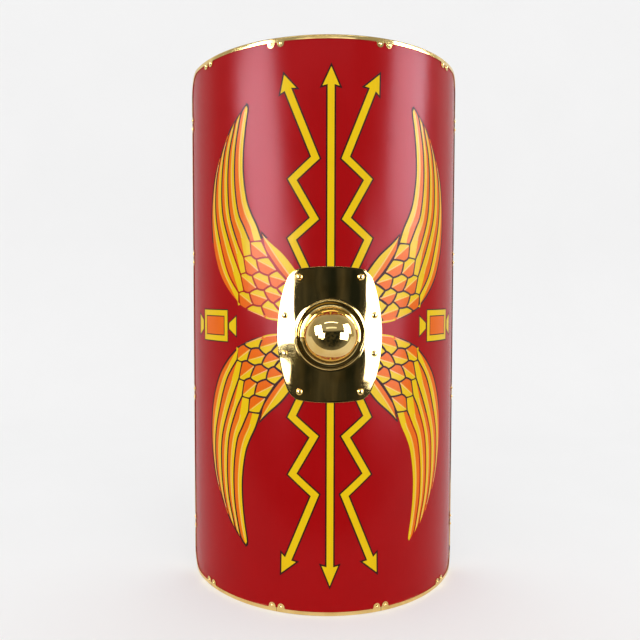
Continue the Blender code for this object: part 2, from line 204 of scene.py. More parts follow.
def bowed(start: Point, end: Point, rise: float) -> Outline:
    """A shallow arc from start to end that rises to the left of the way it runs."""
    (ax, az), (bx, bz) = start, end
    length = max(math.dist(start, end), 1e-6)
    side = (-(bz - az) / length, (bx - ax) / length)
    line = []
    for step in range(7):
        t = step / 6.0
        lift = 4.0 * rise * t * (1.0 - t)
        line.append((ax + (bx - ax) * t + side[0] * lift, az + (bz - az) * t + side[1] * lift))
    return line


def resampled(line: Sequence[Point], steps: int) -> Outline:
    """The same line as evenly spaced points."""
    lengths = [0.0]
    for first, second in zip(line, line[1:]):
        lengths.append(lengths[-1] + math.dist(first, second))
    points = []
    for step in range(steps + 1):
        target = lengths[-1] * step / steps
        index = min(max(i for i in range(len(line)) if lengths[i] <= target + 1e-9), len(line) - 2)
        run = lengths[index + 1] - lengths[index]
        t = 0.0 if run < 1e-9 else (target - lengths[index]) / run
        points.append((line[index][0] + (line[index + 1][0] - line[index][0]) * t,
                       line[index][1] + (line[index + 1][1] - line[index][1]) * t))
    return points


def tapered(line: Sequence[Point], start: float, end: float) -> Outline:
    """The outline of a brush line along some points, whose width changes from start to end."""
    left, right = [], []
    last = len(line) - 1
    for index, spot in enumerate(line):
        before, after = Vector(line[max(0, index - 1)]), Vector(line[min(last, index + 1)])
        way = (after - before).normalized()
        across = Vector((-way.y, way.x)) * 0.5 * (start + (end - start) * index / last)
        left.append(tuple(Vector(spot) + across))
        right.append(tuple(Vector(spot) - across))
    return left + right[::-1]


def signed_area(outline: Sequence[Point]) -> float:
    """Area inside an outline, positive when it runs anticlockwise."""
    pairs = zip(outline, list(outline[1:]) + [outline[0]])
    return 0.5 * sum(x1 * y2 - x2 * y1 for (x1, y1), (x2, y2) in pairs)


def grown(outline: Sequence[Point], distance: float) -> Outline:
    """An outline moved outward by a distance, or inward by a negative one, with short mitres."""
    way = 1.0 if signed_area(outline) > 0.0 else -1.0
    count = len(outline)
    moved = []
    for index in range(count):
        here = Vector(outline[index])
        before = (here - Vector(outline[index - 1])).normalized()
        after = (Vector(outline[(index + 1) % count]) - here).normalized()
        out_before = Vector((before.y, -before.x)) * way
        out_after = Vector((after.y, -after.x)) * way
        middle = out_before + out_after
        if middle.length < 0.05:
            middle = out_before
        middle.normalize()
        reach = distance / max(0.42, middle.dot(out_before))
        spot = here + middle * reach
        moved.append((spot.x, spot.y))
    return moved


def stroke(line: Sequence[Point], width: float) -> Outline:
    """The outline of a straight-edged stroke along a line, with mitred elbows and square ends."""
    half = 0.5 * width
    left, right = [], []
    for index, (x, y) in enumerate(line):
        here = Vector((x, y))
        before = (here - Vector(line[index - 1])).normalized() if index else None
        after = (Vector(line[index + 1]) - here).normalized() if index + 1 < len(line) else None
        way_in, way_out = before or after, after or before
        side = (Vector((-way_in.y, way_in.x)) + Vector((-way_out.y, way_out.x))).normalized()
        reach = half / side.dot(Vector((-way_in.y, way_in.x)))
        left.append(tuple(here + side * reach))
        right.append(tuple(here - side * reach))
    return left + right[::-1]


def flat_blank(name: str, outlines: Sequence[Outline], front: float, back: float) -> bpy.types.Object:
    """Make a flat plate from an outline and any holes in it.

    Args:
        name: Name of the new object.
        outlines: The outline and the holes, as X and Z of the flat layout.
        front: Outward distance of its front face.
        back: Outward distance of its back face; equal to front for a film.

    Returns:
        The flat object.
    """
    curve = bpy.data.curves.new(name, "CURVE")
    curve.dimensions = "2D"
    curve.fill_mode = "BOTH"
    curve.extrude = 0.5 * (front - back)
    for outline in outlines:
        spline = curve.splines.new("POLY")
        spline.points.add(len(outline) - 1)
        for point, (x, z) in zip(spline.points, outline):
            point.co = (x, z, 0.0, 1.0)
        spline.use_cyclic_u = True
    obj = linked(name, curve)
    select_only(obj)
    bpy.ops.object.convert(target="MESH")
    obj = bpy.context.view_layer.objects.active
    stood_up = Matrix.Rotation(math.pi / 2, 4, "X")
    obj.data.transform(Matrix.Translation((0.0, -0.5 * (front + back), 0.0)) @ stood_up)
    if front > back:
        close_seams(obj)
    return obj


def turned(name: str, profile: Sequence[Point], steps: int) -> bpy.types.Object:
    """Turn a profile of radius and height about the Z axis into a closed piece."""
    mesh = bpy.data.meshes.new(name)
    edges = [(index, index + 1) for index in range(len(profile) - 1)]
    mesh.from_pydata([(radius, 0.0, height) for radius, height in profile], edges, [])
    obj = linked(name, mesh)
    with editing(obj):
        bpy.ops.mesh.select_all(action="SELECT")
        bpy.ops.mesh.spin(steps=steps, angle=2.0 * math.pi, center=(0.0, 0.0, 0.0), axis=(0.0, 0.0, 1.0))
    close_seams(obj)
    return obj


# ------------------------------ materials


def from_hex(code: str) -> Colour:
    """Turn an sRGB hex colour into linear values."""
    values = [int(code.lstrip("#")[index:index + 2], 16) / 255.0 for index in (0, 2, 4)]
    linear = [v / 12.92 if v <= 0.04045 else ((v + 0.055) / 1.055) ** 2.4 for v in values]
    return (linear[0], linear[1], linear[2], 1.0)


def add_node(tree: bpy.types.NodeTree, kind: str, settings: Optional[Dict[Any, Any]] = None,
             links: Optional[Dict[Any, bpy.types.NodeSocket]] = None) -> bpy.types.Node:
    """Add a node with its settings and links.

    Args:
        tree: The node tree it goes in.
        kind: The node's type.
        settings: Values by attribute name, or by input name or number.
        links: Output sockets by the input name or number that they feed.

    Returns:
        The new node.
    """
    node = tree.nodes.new(kind)
    for key, value in (settings or {}).items():
        if isinstance(key, str) and hasattr(node, key):
            setattr(node, key, value)
        else:
            node.inputs[key].default_value = value
    for key, socket in (links or {}).items():
        tree.links.new(socket, node.inputs[key])
    return node


def new_material(name: str) -> Tuple[bpy.types.Material, bpy.types.NodeTree, bpy.types.Node]:
    """Make an empty material and return it with its tree and its surface shader."""
    material = bpy.data.materials.new(name)
    material.use_nodes = True
    tree = material.node_tree
    shader = tree.nodes["Principled BSDF"]
    return material, tree, shader


def ramp(tree: bpy.types.NodeTree, source: bpy.types.NodeSocket, low: float, high: float, first: Colour,
         second: Colour) -> bpy.types.NodeSocket:
    """Blend two colours as a value goes from low to high, and return the colour socket."""
    node = add_node(tree, "ShaderNodeValToRGB", {}, {"Fac": source})
    node.color_ramp.elements[0].position = low
    node.color_ramp.elements[0].color = first
    node.color_ramp.elements[1].position = high
    node.color_ramp.elements[1].color = second
    return node.outputs["Color"]


def noise(tree: bpy.types.NodeTree, place: bpy.types.NodeSocket, scale: float, detail: float,
          **settings: float) -> bpy.types.NodeSocket:
    """Add a noise of so many cells to the metre, and return its value socket."""
    values = {"Scale": scale, "Detail": detail, **settings}
    return add_node(tree, "ShaderNodeTexNoise", values, {"Vector": place}).outputs["Fac"]


def mapped(tree: bpy.types.NodeTree, place: bpy.types.NodeSocket, scale: Sequence[float],
           **settings: Sequence[float]) -> bpy.types.NodeSocket:
    """Scale a position along its axes, and return the new position's socket."""
    values = {"Scale": tuple(scale), **settings}
    return add_node(tree, "ShaderNodeMapping", values, {"Vector": place}).outputs["Vector"]


def spread(tree: bpy.types.NodeTree, source: bpy.types.NodeSocket, low: float, high: float,
           **settings: float) -> bpy.types.NodeSocket:
    """Spread a value over the range from low to high, and return the new value's socket."""
    values = {"To Min": low, "To Max": high, **settings}
    return add_node(tree, "ShaderNodeMapRange", values, {"Value": source}).outputs["Result"]


def relief(tree: bpy.types.NodeTree, height: bpy.types.NodeSocket, strength: float, distance: float,
           under: Optional[bpy.types.NodeSocket] = None) -> bpy.types.NodeSocket:
    """Raise a pattern on the surface, over another relief if there is one, and return the normal's socket."""
    links = {"Height": height, "Normal": under} if under else {"Height": height}
    settings = {"Strength": strength, "Distance": distance}
    return add_node(tree, "ShaderNodeBump", settings, links).outputs["Normal"]


def connect(tree: bpy.types.NodeTree, shader: bpy.types.Node, colour: bpy.types.NodeSocket,
            roughness: bpy.types.NodeSocket, normal: bpy.types.NodeSocket) -> None:
    """Plug the colour, the roughness and the normal into a surface shader."""
    for name, socket in (("Base Color", colour), ("Roughness", roughness), ("Normal", normal)):
        tree.links.new(socket, shader.inputs[name])


@dataclass(frozen=True)
class BrushedPaint:
    """Satin oil paint brushed on cloth-faced plywood.

    The eye sees a clean strong colour with faint upright brush marks, and a broad soft sheen where it faces
    a lamp.
    """

    name: str
    colour: str
    shade: str
    roughness: float = 0.23
    specular: float = 0.11
    bump: float = 0.20
    bump_height: float = 0.4 * MM
    brush_mark: float = 3.0 * MM
    brush_length: float = 60.0 * MM
    weave: float = 2.4 * MM
    clouds_per_metre: float = 14.0
    marks_share: float = 0.45

    def build(self) -> bpy.types.Material:
        """Make the material; the weave is drawn three times too coarse, or it would not show at all."""
        material, tree, shader = new_material(self.name)
        flat = add_node(tree, "ShaderNodeUVMap", {"uv_map": "flat"}).outputs["UV"]
        streaks = mapped(tree, flat, (1.0 / self.brush_mark, 1.0 / self.brush_length, 1.0))
        marks = noise(tree, streaks, 1.0, 4.0, Roughness=0.6)
        cloud = noise(tree, flat, self.clouds_per_metre, 3.0)
        blend = add_node(tree, "ShaderNodeMath", {"operation": "MULTIPLY_ADD", 1: self.marks_share, 2: 0.0},
                         {0: marks})
        total = add_node(tree, "ShaderNodeMath", {"operation": "MULTIPLY_ADD", 1: 1.0 - self.marks_share},
                         {0: cloud, 2: blend.outputs["Value"]})
        colour = ramp(tree, total.outputs["Value"], 0.32, 0.68, from_hex(self.shade), from_hex(self.colour))
        shine = spread(tree, cloud, self.roughness - 0.02, self.roughness + 0.03)
        cloth = noise(tree, flat, 1.0 / self.weave, 2.0)
        height = add_node(tree, "ShaderNodeMath", {"operation": "ADD"}, {0: cloth, 1: marks})
        normal = relief(tree, height.outputs["Value"], self.bump, self.bump_height)
        connect(tree, shader, colour, shine, normal)
        shader.inputs["Specular IOR Level"].default_value = self.specular
        return material


@dataclass(frozen=True)
class PolishedBrass:
    """Sheet brass, hammered or folded to shape and buffed to a mirror.

    The eye sees the room in it, bent by slow hollows that the hammer left, with hair-fine buffing marks and
    a few warm smudges where hands have dulled it.
    """

    name: str
    colour: str = "#E9CB86"
    smudge: str = "#D9B468"
    roughness: float = 0.07
    hollow: float = 45.0 * MM
    hollow_depth: float = 0.25
    hollow_height: float = 2.0 * MM
    scratch: float = 1.6 * MM
    scratch_turn: float = 0.35
    scratch_height: float = 0.1 * MM
    smudges_per_metre: float = 22.0

    def build(self) -> bpy.types.Material:
        """Make the material; the buffing marks are drawn coarse enough to show."""
        material, tree, shader = new_material(self.name)
        place = add_node(tree, "ShaderNodeTexCoord").outputs["Object"]
        hollows = noise(tree, place, 1.0 / self.hollow, 1.0)
        long_marks = (0.08 / self.scratch, 0.3 / self.scratch, 1.0 / self.scratch)
        stretched = mapped(tree, place, long_marks, Rotation=(0.0, self.scratch_turn, 0.0))
        scratches = noise(tree, stretched, 1.0, 5.0, Roughness=0.7)
        hands = noise(tree, place, self.smudges_per_metre, 4.0)
        colour = ramp(tree, hands, 0.40, 0.70, from_hex(self.colour), from_hex(self.smudge))
        shader.inputs["Metallic"].default_value = 1.0
        haze = add_node(tree, "ShaderNodeMath", {"operation": "MULTIPLY"}, {0: hands, 1: scratches})
        shine = spread(tree, haze.outputs["Value"], 0.6 * self.roughness, 1.8 * self.roughness,
                       **{"From Min": 0.15, "From Max": 0.40})
        slow = relief(tree, hollows, self.hollow_depth, self.hollow_height)
        connect(tree, shader, colour, shine, relief(tree, scratches, 0.03, self.scratch_height, slow))
        return material


@dataclass(frozen=True)
class OiledAsh:
    """Straight-grained ash, planed and oiled: pale bands and darker pores run along the bar."""

    name: str = "oiled_ash"
    light: str = "#B98A55"
    dark: str = "#7A4F2A"
    ring: float = 7.0 * MM
    pore: float = 0.8 * MM
    pore_depth: float = 0.2 * MM

    def build(self) -> bpy.types.Material:
        """Make the material with its grain along X."""
        material, tree, shader = new_material(self.name)
        place = add_node(tree, "ShaderNodeTexCoord").outputs["Object"]
        along = mapped(tree, place, (0.08 / self.ring, 1.0 / self.ring, 1.0 / self.ring))
        rings = noise(tree, along, 1.0, 5.0, Distortion=0.6)
        finer = mapped(tree, place, (0.03 / self.pore, 1.0 / self.pore, 1.0 / self.pore))
        pores = noise(tree, finer, 1.0, 3.0)
        total = add_node(tree, "ShaderNodeMath", {"operation": "MULTIPLY_ADD", 1: 0.35},
                         {0: pores, 2: rings})
        colour = ramp(tree, total.outputs["Value"], 0.50, 0.85, from_hex(self.dark), from_hex(self.light))
        shine = spread(tree, pores, 0.42, 0.58)
        connect(tree, shader, colour, shine, relief(tree, pores, 0.25, self.pore_depth))
        return material


@dataclass(frozen=True)
class StudioPaper:
    """Matt white background paper: an even pale ground that the object stands on."""

    name: str = "studio_paper"
    colour: str = "#C9C9C9"
    shade: str = "#C8C8C8"
    roughness: float = 0.9
    specular: float = 0.1
    glow: float = 0.56

    def build(self) -> bpy.types.Material:
        """Make the material."""
        material, tree, shader = new_material(self.name)
        place = add_node(tree, "ShaderNodeTexCoord").outputs["Object"]
        cloud = noise(tree, place, 3.0, 2.0)
        colour = ramp(tree, cloud, 0.3, 0.7, from_hex(self.shade), from_hex(self.colour))
        tree.links.new(colour, shader.inputs["Base Color"])
        shader.inputs["Roughness"].default_value = self.roughness
        shader.inputs["Specular IOR Level"].default_value = self.specular
        tree.links.new(colour, shader.inputs["Emission Color"])
        shader.inputs["Emission Strength"].default_value = self.glow
        return material


# ------------------------------ shield's form


@dataclass
class Form:
    """The cylinder that the board, its edging and the boss plate are bent round."""

    radius: float = 286.48 * MM
    crease: float = 5.0 * MM
    axis_y: float = field(init=False)
    middle: float = field(init=False)

    def __post_init__(self) -> None:
        """Take the axis and the middle from the CAD board."""
        low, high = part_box("board")
        self.axis_y = low.y + self.radius
        self.middle = 0.5 * (low.z + high.z)

    def place(self, across: float, rise: float, outward: float = 0.0) -> Vector:
        """Where a point of the flat layout goes on the bent shield."""
        angle = across / self.radius
        reach = self.radius + outward
        return Vector((reach * math.sin(angle), self.axis_y - reach * math.cos(angle), self.middle + rise))

    def standing(self, across: float, rise: float, outward: float = 0.0) -> Matrix:
        """Matrix that stands a turned piece on the shield with its axis pointing outward."""
        turn = Matrix.Rotation(across / self.radius, 4, "Z") @ Matrix.Rotation(math.pi / 2, 4, "X")
        return Matrix.Translation(self.place(across, rise, outward)) @ turn

    def wrap(self, obj: bpy.types.Object) -> None:
        """Cut a flat piece into narrow upright bands, keep its flat layout as a map, and bend it.

        Args:
            obj: The flat piece.
        """
        shape = bmesh.new()
        shape.from_mesh(obj.data)
        reach = max(abs(vertex.co.x) for vertex in shape.verts)
        count = int(reach / self.crease) + 1
        for index in range(-count, count + 1):
            parts = shape.verts[:] + shape.edges[:] + shape.faces[:]
            bmesh.ops.bisect_plane(shape, geom=parts, dist=0.001 * MM,
                                   plane_co=(index * self.crease, 0.0, 0.0), plane_no=(1.0, 0.0, 0.0))
        flat = shape.loops.layers.uv.new("flat")
        for face in shape.faces:
            for loop in face.loops:
                loop[flat].uv = (loop.vert.co.x, loop.vert.co.z)
        for vertex in shape.verts:
            vertex.co = self.place(vertex.co.x, vertex.co.z, -vertex.co.y)
        shape.to_mesh(obj.data)
        shape.free()


def finish_piece(obj: bpy.types.Object, name: str, slot: str, nodes: Sequence[str],
                 *materials: bpy.types.Material) -> bpy.types.Object:
    """Name a piece, dress it and tie it to the CAD frame.

    Args:
        obj: The finished object.
        name: Its name.
        slot: The record's material slot; not used.
        nodes: CAD nodes that it stands for; none for a piece that only adds to one.
        *materials: Its materials, in the order of its faces' indices.

    Returns:
        The same object.
    """
    obj.name = name
    obj.data.name = name
    obj.data.materials.clear()
    for material in materials:
        obj.data.materials.append(material)
    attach(obj, "root")
    if nodes:
        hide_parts(*nodes)
    LOG.info("%s: %d faces", name, len(obj.data.polygons))
    return obj


# ------------------------------ board


@dataclass
class Board:
    """Bent plywood board, red in front and plainer red behind, with the hand hole behind the boss."""

    form: Form
    half_arc: float = 368.5 * MM
    half_height: float = 518.5 * MM
    corner: float = 48.5 * MM
    thickness: float = 7.0 * MM
    hand_hole: float = 56.0 * MM
    boss_drop: float = 6.0 * MM

    def outline(self) -> Outline:
        """The board's rectangle with round corners."""
        points: Outline = []
        for index, (sx, sz) in enumerate(((1, 1), (-1, 1), (-1, -1), (1, -1))):
            centre = (sx * (self.half_arc - self.corner), sz * (self.half_height - self.corner))
            points += arc(centre, self.corner, 90.0 * index, 90.0 * index + 90.0, 14)
        return points

    def build(self, front: bpy.types.Material, back: bpy.types.Material) -> bpy.types.Object:
        """Make the board.

        Args:
            front: Paint of the outward face.
            back: Paint of the hollow side and the edges.

        Returns:
            The finished board.
        """
        hole = arc((0.0, -self.boss_drop), self.hand_hole, 0.0, 357.0, 119)
        board = flat_blank("board_shell", [self.outline(), hole], 0.0, -self.thickness)
        self.form.wrap(board)
        smooth(board)
        finish_piece(board, "board_shell", "painted_board", ["board"], front, back)
        axis = Vector((0.0, self.form.axis_y, 0.0))
        for face in board.data.polygons:
            away = face.center - axis
            away.z = 0.0
            face.material_index = 0 if face.normal.dot(away.normalized()) > 0.5 else 1
        return board


# ------------------------------ emblem


class Layer(Enum):
    """Coats of the painted emblem, in the order that they are put on, with their height above the red."""

    OUTLINE = 0.10 * MM
    YELLOW = 0.18 * MM
    ORANGE = 0.22 * MM
    PALE = 0.26 * MM


@dataclass
class Coats:
    """Collects the shapes that go in each coat of paint."""

    shapes: Dict[Layer, List[List[Outline]]] = field(default_factory=lambda: {layer: [] for layer in Layer})

    def add(self, layer: Layer, *outlines: Sequence[Point]) -> None:
        """Add one closed shape to a coat: its outline and any holes in it, in millimetres."""
        self.shapes[layer].append([[(x * MM, z * MM) for x, z in outline] for outline in outlines])


@dataclass
class Quarter:
    """One quarter of the shield's face, which takes shapes drawn for the upper right one.

    They are mirrored about the middle, stretched in height, and shifted outward and away from the middle.
    """

    coats: Coats
    side: float
    up: float
    middle: float
    stretch: float = 1.0
    shift: Point = (0.0, 0.0)

    def add(self, layer: Layer, *outlines: Sequence[Point]) -> None:
        """Move a shape into this quarter and add it to a coat."""
        self.coats.add(layer, *([self.moved(point) for point in outline] for outline in outlines))

    def moved(self, point: Point) -> Point:
        """Where a point of the drawing goes in this quarter."""
        outward, lift = self.shift
        rise = self.stretch * (point[1] - self.middle) + lift
        return (self.side * (point[0] + outward), self.middle + self.up * rise)


@dataclass
class Wing:
    """A spread wing: five long feathers, a leaf-shaped one and rows of small ones; sizes in millimetres."""

    line: float = 3.5
    rib_share: float = 0.46
    first_rib_foot: float = 0.58
    rib_foot: float = 0.84
    scallop: float = 0.9

    # Lines between the long feathers, each from its base to the tip that it ends in
    lines: Tuple[Tuple[Point, ...], ...] = (
        ((126.0, 163.0), (136.0, 190.0), (148.5, 214.0), (158.8, 241.0), (165.8, 286.0), (165.6, 327.0),
         (161.0, 367.0), (154.6, 403.0), (157.7, 412.0)),
        ((151.0, 162.0), (165.0, 190.0), (179.0, 219.0), (187.0, 272.0), (186.0, 327.0), (178.0, 371.0),
         (169.4, 400.4), (157.7, 412.0)),
        ((166.0, 135.0), (181.0, 163.0), (200.0, 215.0), (205.0, 274.0), (201.0, 327.0), (190.0, 367.0),
         (183.3, 387.4), (169.4, 400.4)),
        ((173.5, 103.0), (201.0, 163.0), (220.0, 219.0), (222.0, 277.0), (215.0, 327.0), (200.6, 367.5),
         (183.3, 387.4)),
        ((178.0, 69.0), (205.0, 106.0), (227.0, 163.0), (241.0, 219.0), (239.0, 279.0), (223.6, 329.0),
         (200.6, 367.5)),
        ((175.5, 46.0), (205.0, 73.0), (231.0, 108.0), (250.0, 159.0), (255.5, 216.0), (250.0, 264.0),
         (238.0, 304.0), (223.6, 329.0)),
    )
    tips: Tuple[Point, ...] = ((157.7, 412.0), (169.4, 400.4), (183.3, 387.4), (200.6, 367.5),
                               (223.6, 329.0))

    # Where the rows of small feathers meet: the corners of each row, then the points it ends in
    bases: Tuple[Point, ...] = ((127.0, 162.5), (148.5, 137.5), (160.5, 106.0), (165.5, 72.0), (175.5, 46.0))
    corners: Tuple[Tuple[Point, ...], ...] = (
        ((151.0, 162.0), (166.0, 135.0), (173.5, 103.0), (178.0, 69.0)),
        ((137.8, 130.3), (147.0, 100.4), (153.6, 69.3), (161.8, 39.0)),
        ((113.2, 100.4), (122.3, 74.0), (128.0, 45.0), (118.8, 24.5)),
        ((97.0, 77.0), (103.0, 50.0), (92.0, 20.0), (92.0, 20.0)),
    )
    points: Tuple[Tuple[Point, ...], ...] = (
        ((113.0, 133.0), (131.4, 107.4), (136.0, 76.6), (144.8, 47.0)),
        ((95.8, 109.0), (107.9, 82.0), (113.3, 57.0), (118.8, 24.5)),
        ((77.0, 90.0), (84.0, 62.0), (86.0, 32.0), (86.0, 20.0)),
    )

    # Feathers of the last row, which the boss plate mostly covers
    covered: Tuple[Tuple[Point, ...], ...] = (
        ((97.0, 77.0), (77.0, 90.0), (60.0, 76.0), (66.0, 60.0), (84.0, 62.0)),
        ((103.0, 50.0), (84.0, 62.0), (66.0, 48.0), (70.0, 30.0), (86.0, 32.0)),
    )

    leaf_top: Tuple[Point, ...] = ((126.5, 177.6), (109.6, 161.5), (84.0, 139.0), (62.4, 112.0),
                                   (52.0, 95.0))
    leaf_low: Tuple[Point, ...] = ((126.5, 177.6), (121.5, 152.0), (110.5, 133.0), (94.0, 110.5),
                                   (75.6, 90.0), (58.0, 72.0))
    leaf_middle: Tuple[Point, ...] = ((126.5, 177.6), (107.0, 147.0), (87.0, 119.0), (68.0, 94.0),
                                      (54.0, 76.0))
    under: Tuple[Point, ...] = ((70.0, 19.0), (96.0, 21.0), (118.8, 24.5), (141.4, 30.5), (161.8, 39.0),
                                (175.5, 46.0))

    def paint(self, quarter: Quarter) -> None:
        """Paint the wing: a dark ground first, then every feather on it with a narrow gap round it."""
        edges = [through(points, 8) for points in self.lines]
        ground = through(self.leaf_top, 8)[::-1] + edges[0]
        ground += self.stepped_side(edges)[::-1] + through(self.under, 6)[::-1]
        quarter.add(Layer.OUTLINE, grown(ground, 0.5 * self.line))
        for index in range(5):
            self.long_feather(quarter, edges, index)
        self.leaf(quarter)
        for row in range(3):
            for index in range(4):
                self.small_feather(quarter, row, index)
        for outline in self.covered:
            self.fill(quarter, Layer.YELLOW, outline)

    def stepped_side(self, edges: Sequence[Outline]) -> Outline:
        """The outer side of the wing, from the base of the last long feather over every tip to the first."""
        side = list(edges[5])
        for index in range(4, 0, -1):
            side += self.split(edges[index], self.tips[index])[1]
        return side

    @staticmethod
    def split(edge: Outline, tip: Point) -> Tuple[Outline, Outline]:
        """The parts of a line as far as a tip that lies on it, and past it."""
        nearest = min(range(len(edge)), key=lambda k: math.dist(edge[k], tip))
        return edge[:nearest + 1], edge[nearest + 1:]

    def fill(self, quarter: Quarter, layer: Layer, outline: Sequence[Point]) -> None:
        """Paint an area, drawn in by half the width of the dark line round it."""
        quarter.add(layer, grown(outline, -0.5 * self.line))

    def long_feather(self, quarter: Quarter, edges: Sequence[Outline], index: int) -> None:
        """Paint one long feather: yellow on the inner side, orange outside, a pale rib between.

        Args:
            quarter: The quarter it is painted in.
            edges: The lines between the feathers.
            index: Its place, counted from the innermost.
        """
        inside = resampled(self.split(edges[index], self.tips[index])[0], 32)
        outside = resampled(edges[index + 1], 32)
        foot = [self.bases[index]] if index else []
        whole = foot + inside + outside[::-1][1:]
        self.fill(quarter, Layer.YELLOW, whole)
        wide = self.rib_foot if index else self.first_rib_foot
        rib = []
        for step, (near, far) in enumerate(zip(inside, outside)):
            share = self.rib_share + (wide - self.rib_share) * max(0.0, 1.0 - step / 4.0) ** 1.3
            rib.append((near[0] + (far[0] - near[0]) * share, near[1] + (far[1] - near[1]) * share))
        self.fill(quarter, Layer.ORANGE, rib + outside[::-1][1:])
        quarter.add(Layer.PALE, tapered([(x - 0.4, z) for x, z in rib[3:-2]], 1.2, 1.6))

    def leaf(self, quarter: Quarter) -> None:
        """Paint the leaf-shaped feather that lies along the shoulder of the wing."""
        top, low = through(self.leaf_top, 8), through(self.leaf_low, 8)
        middle = through(self.leaf_middle, 8)
        self.fill(quarter, Layer.YELLOW, top + low[::-1][:-1])
        self.fill(quarter, Layer.ORANGE, middle + low[::-1][:-1])
        quarter.add(Layer.PALE, tapered(middle[2:], 0.8, 2.6))

    def small_feather(self, quarter: Quarter, row: int, index: int) -> None:
        """Paint one small feather: yellow above, orange below, a pale rib between.

        Args:
            quarter: The quarter it is painted in.
            row: Its row, from the one at the foot of the long feathers.
            index: Its place in the row, from the leaf-shaped feather.
        """
        corner, point = self.corners[row][index], self.points[row][index]
        bottom = self.corners[row + 1][index]
        above = self.bases[index] if row == 0 else self.points[row - 1][index]
        nexts = self.bases if row == 0 else self.points[row - 1]
        beside = [self.corners[row + 1][index - 1]] if index else []
        beyond = [nexts[index + 1]] if index + 1 < len(nexts) else []
        upper = bowed(corner, above, -1.0)
        for spot in beside + [point]:
            upper += bowed(upper[-1], spot, self.scallop if beside else -0.6)[1:]
        lower = bowed(point, bottom, 1.0)
        for spot in beyond + [corner]:
            lower += bowed(lower[-1], spot, -self.scallop)[1:]
        if math.dist(point, bottom) < 1.0:
            lower = lower[-13:]
        self.fill(quarter, Layer.YELLOW, upper + lower[1:-1])
        self.fill(quarter, Layer.ORANGE, lower)
        rib = [(corner[0] + (point[0] - corner[0]) * share, corner[1] + (point[1] - corner[1]) * share)
               for share in (0.10, 0.4, 0.7, 0.92)]
        quarter.add(Layer.PALE, tapered(rib, 0.6, 2.2))


@dataclass
class Bolt:
    """A yellow zigzag or straight stroke with a barbed head; sizes in millimetres."""

    line: Tuple[Point, ...]
    tips: Tuple[Point, ...]
    width: float = 12.4
    head: float = 30.0
    barb_sweep: float = 2.5
    edge: float = 2.9

    def barbs(self, neck: Point, tip: Point) -> Outline:
        """Left barb, tip and right barb of the head at the end of a stroke."""
        start = Vector(neck)
        way = (Vector(tip) - start).normalized()
        across = Vector((-way.y, way.x)) * 0.5 * self.head
        sweep = way * -self.barb_sweep
        return [tuple(start + across + sweep), tip, tuple(start - across + sweep)]

    def paint(self, quarter: Quarter) -> None:
        """Paint the stroke and its heads as one shape over its dark outline."""
        sides = stroke(self.line, self.width)
        count = len(self.line)
        shape = sides[:count] + self.barbs(self.line[-1], self.tips[0]) + sides[count:]
        if len(self.tips) > 1:
            shape += self.barbs(self.line[0], self.tips[1])
        quarter.add(Layer.OUTLINE, grown(shape, self.edge))
        quarter.add(Layer.YELLOW, shape)


@dataclass
class SideMark:
    """A framed orange oblong with a flared ear at each end; sizes in millimetres."""

    centre: Point = (247.3, 6.3)
    half_width: float = 39.2
    half_height: float = 29.6
    field_half_width: float = 29.0
    field_half_height: float = 17.2
    line: float = 2.1

    def block(self, half_width: float, half_height: float) -> Outline:
        """An oblong round the mark's centre."""
        x, z = self.centre
        return [(x - half_width, z - half_height), (x + half_width, z - half_height),
                (x + half_width, z + half_height), (x - half_width, z + half_height)]

    def ear(self, near: float, far: float, low: float, high: float) -> Outline:
        """A flared ear: half as high at its near end, low, as its far end, high."""
        x, z = self.centre
        return [(x + near, z - low), (x + far, z - high), (x + far, z + high), (x + near, z + low)]

    def paint(self, quarter: Quarter) -> None:
        """Paint the frame, its field and the ears."""
        outer = self.block(self.half_width, self.half_height)
        field_edge = self.block(self.field_half_width, self.field_half_height)
        quarter.add(Layer.OUTLINE, grown(outer, self.line))
        quarter.add(Layer.YELLOW, outer, grown(field_edge, 0.9 * self.line))
        quarter.add(Layer.ORANGE, field_edge)
        for ear in (self.ear(-44.0, -62.0, 5.2, 18.0), self.ear(45.5, 62.0, 9.2, 20.0)):
            quarter.add(Layer.OUTLINE, grown(ear, self.line))
            quarter.add(Layer.YELLOW, ear)


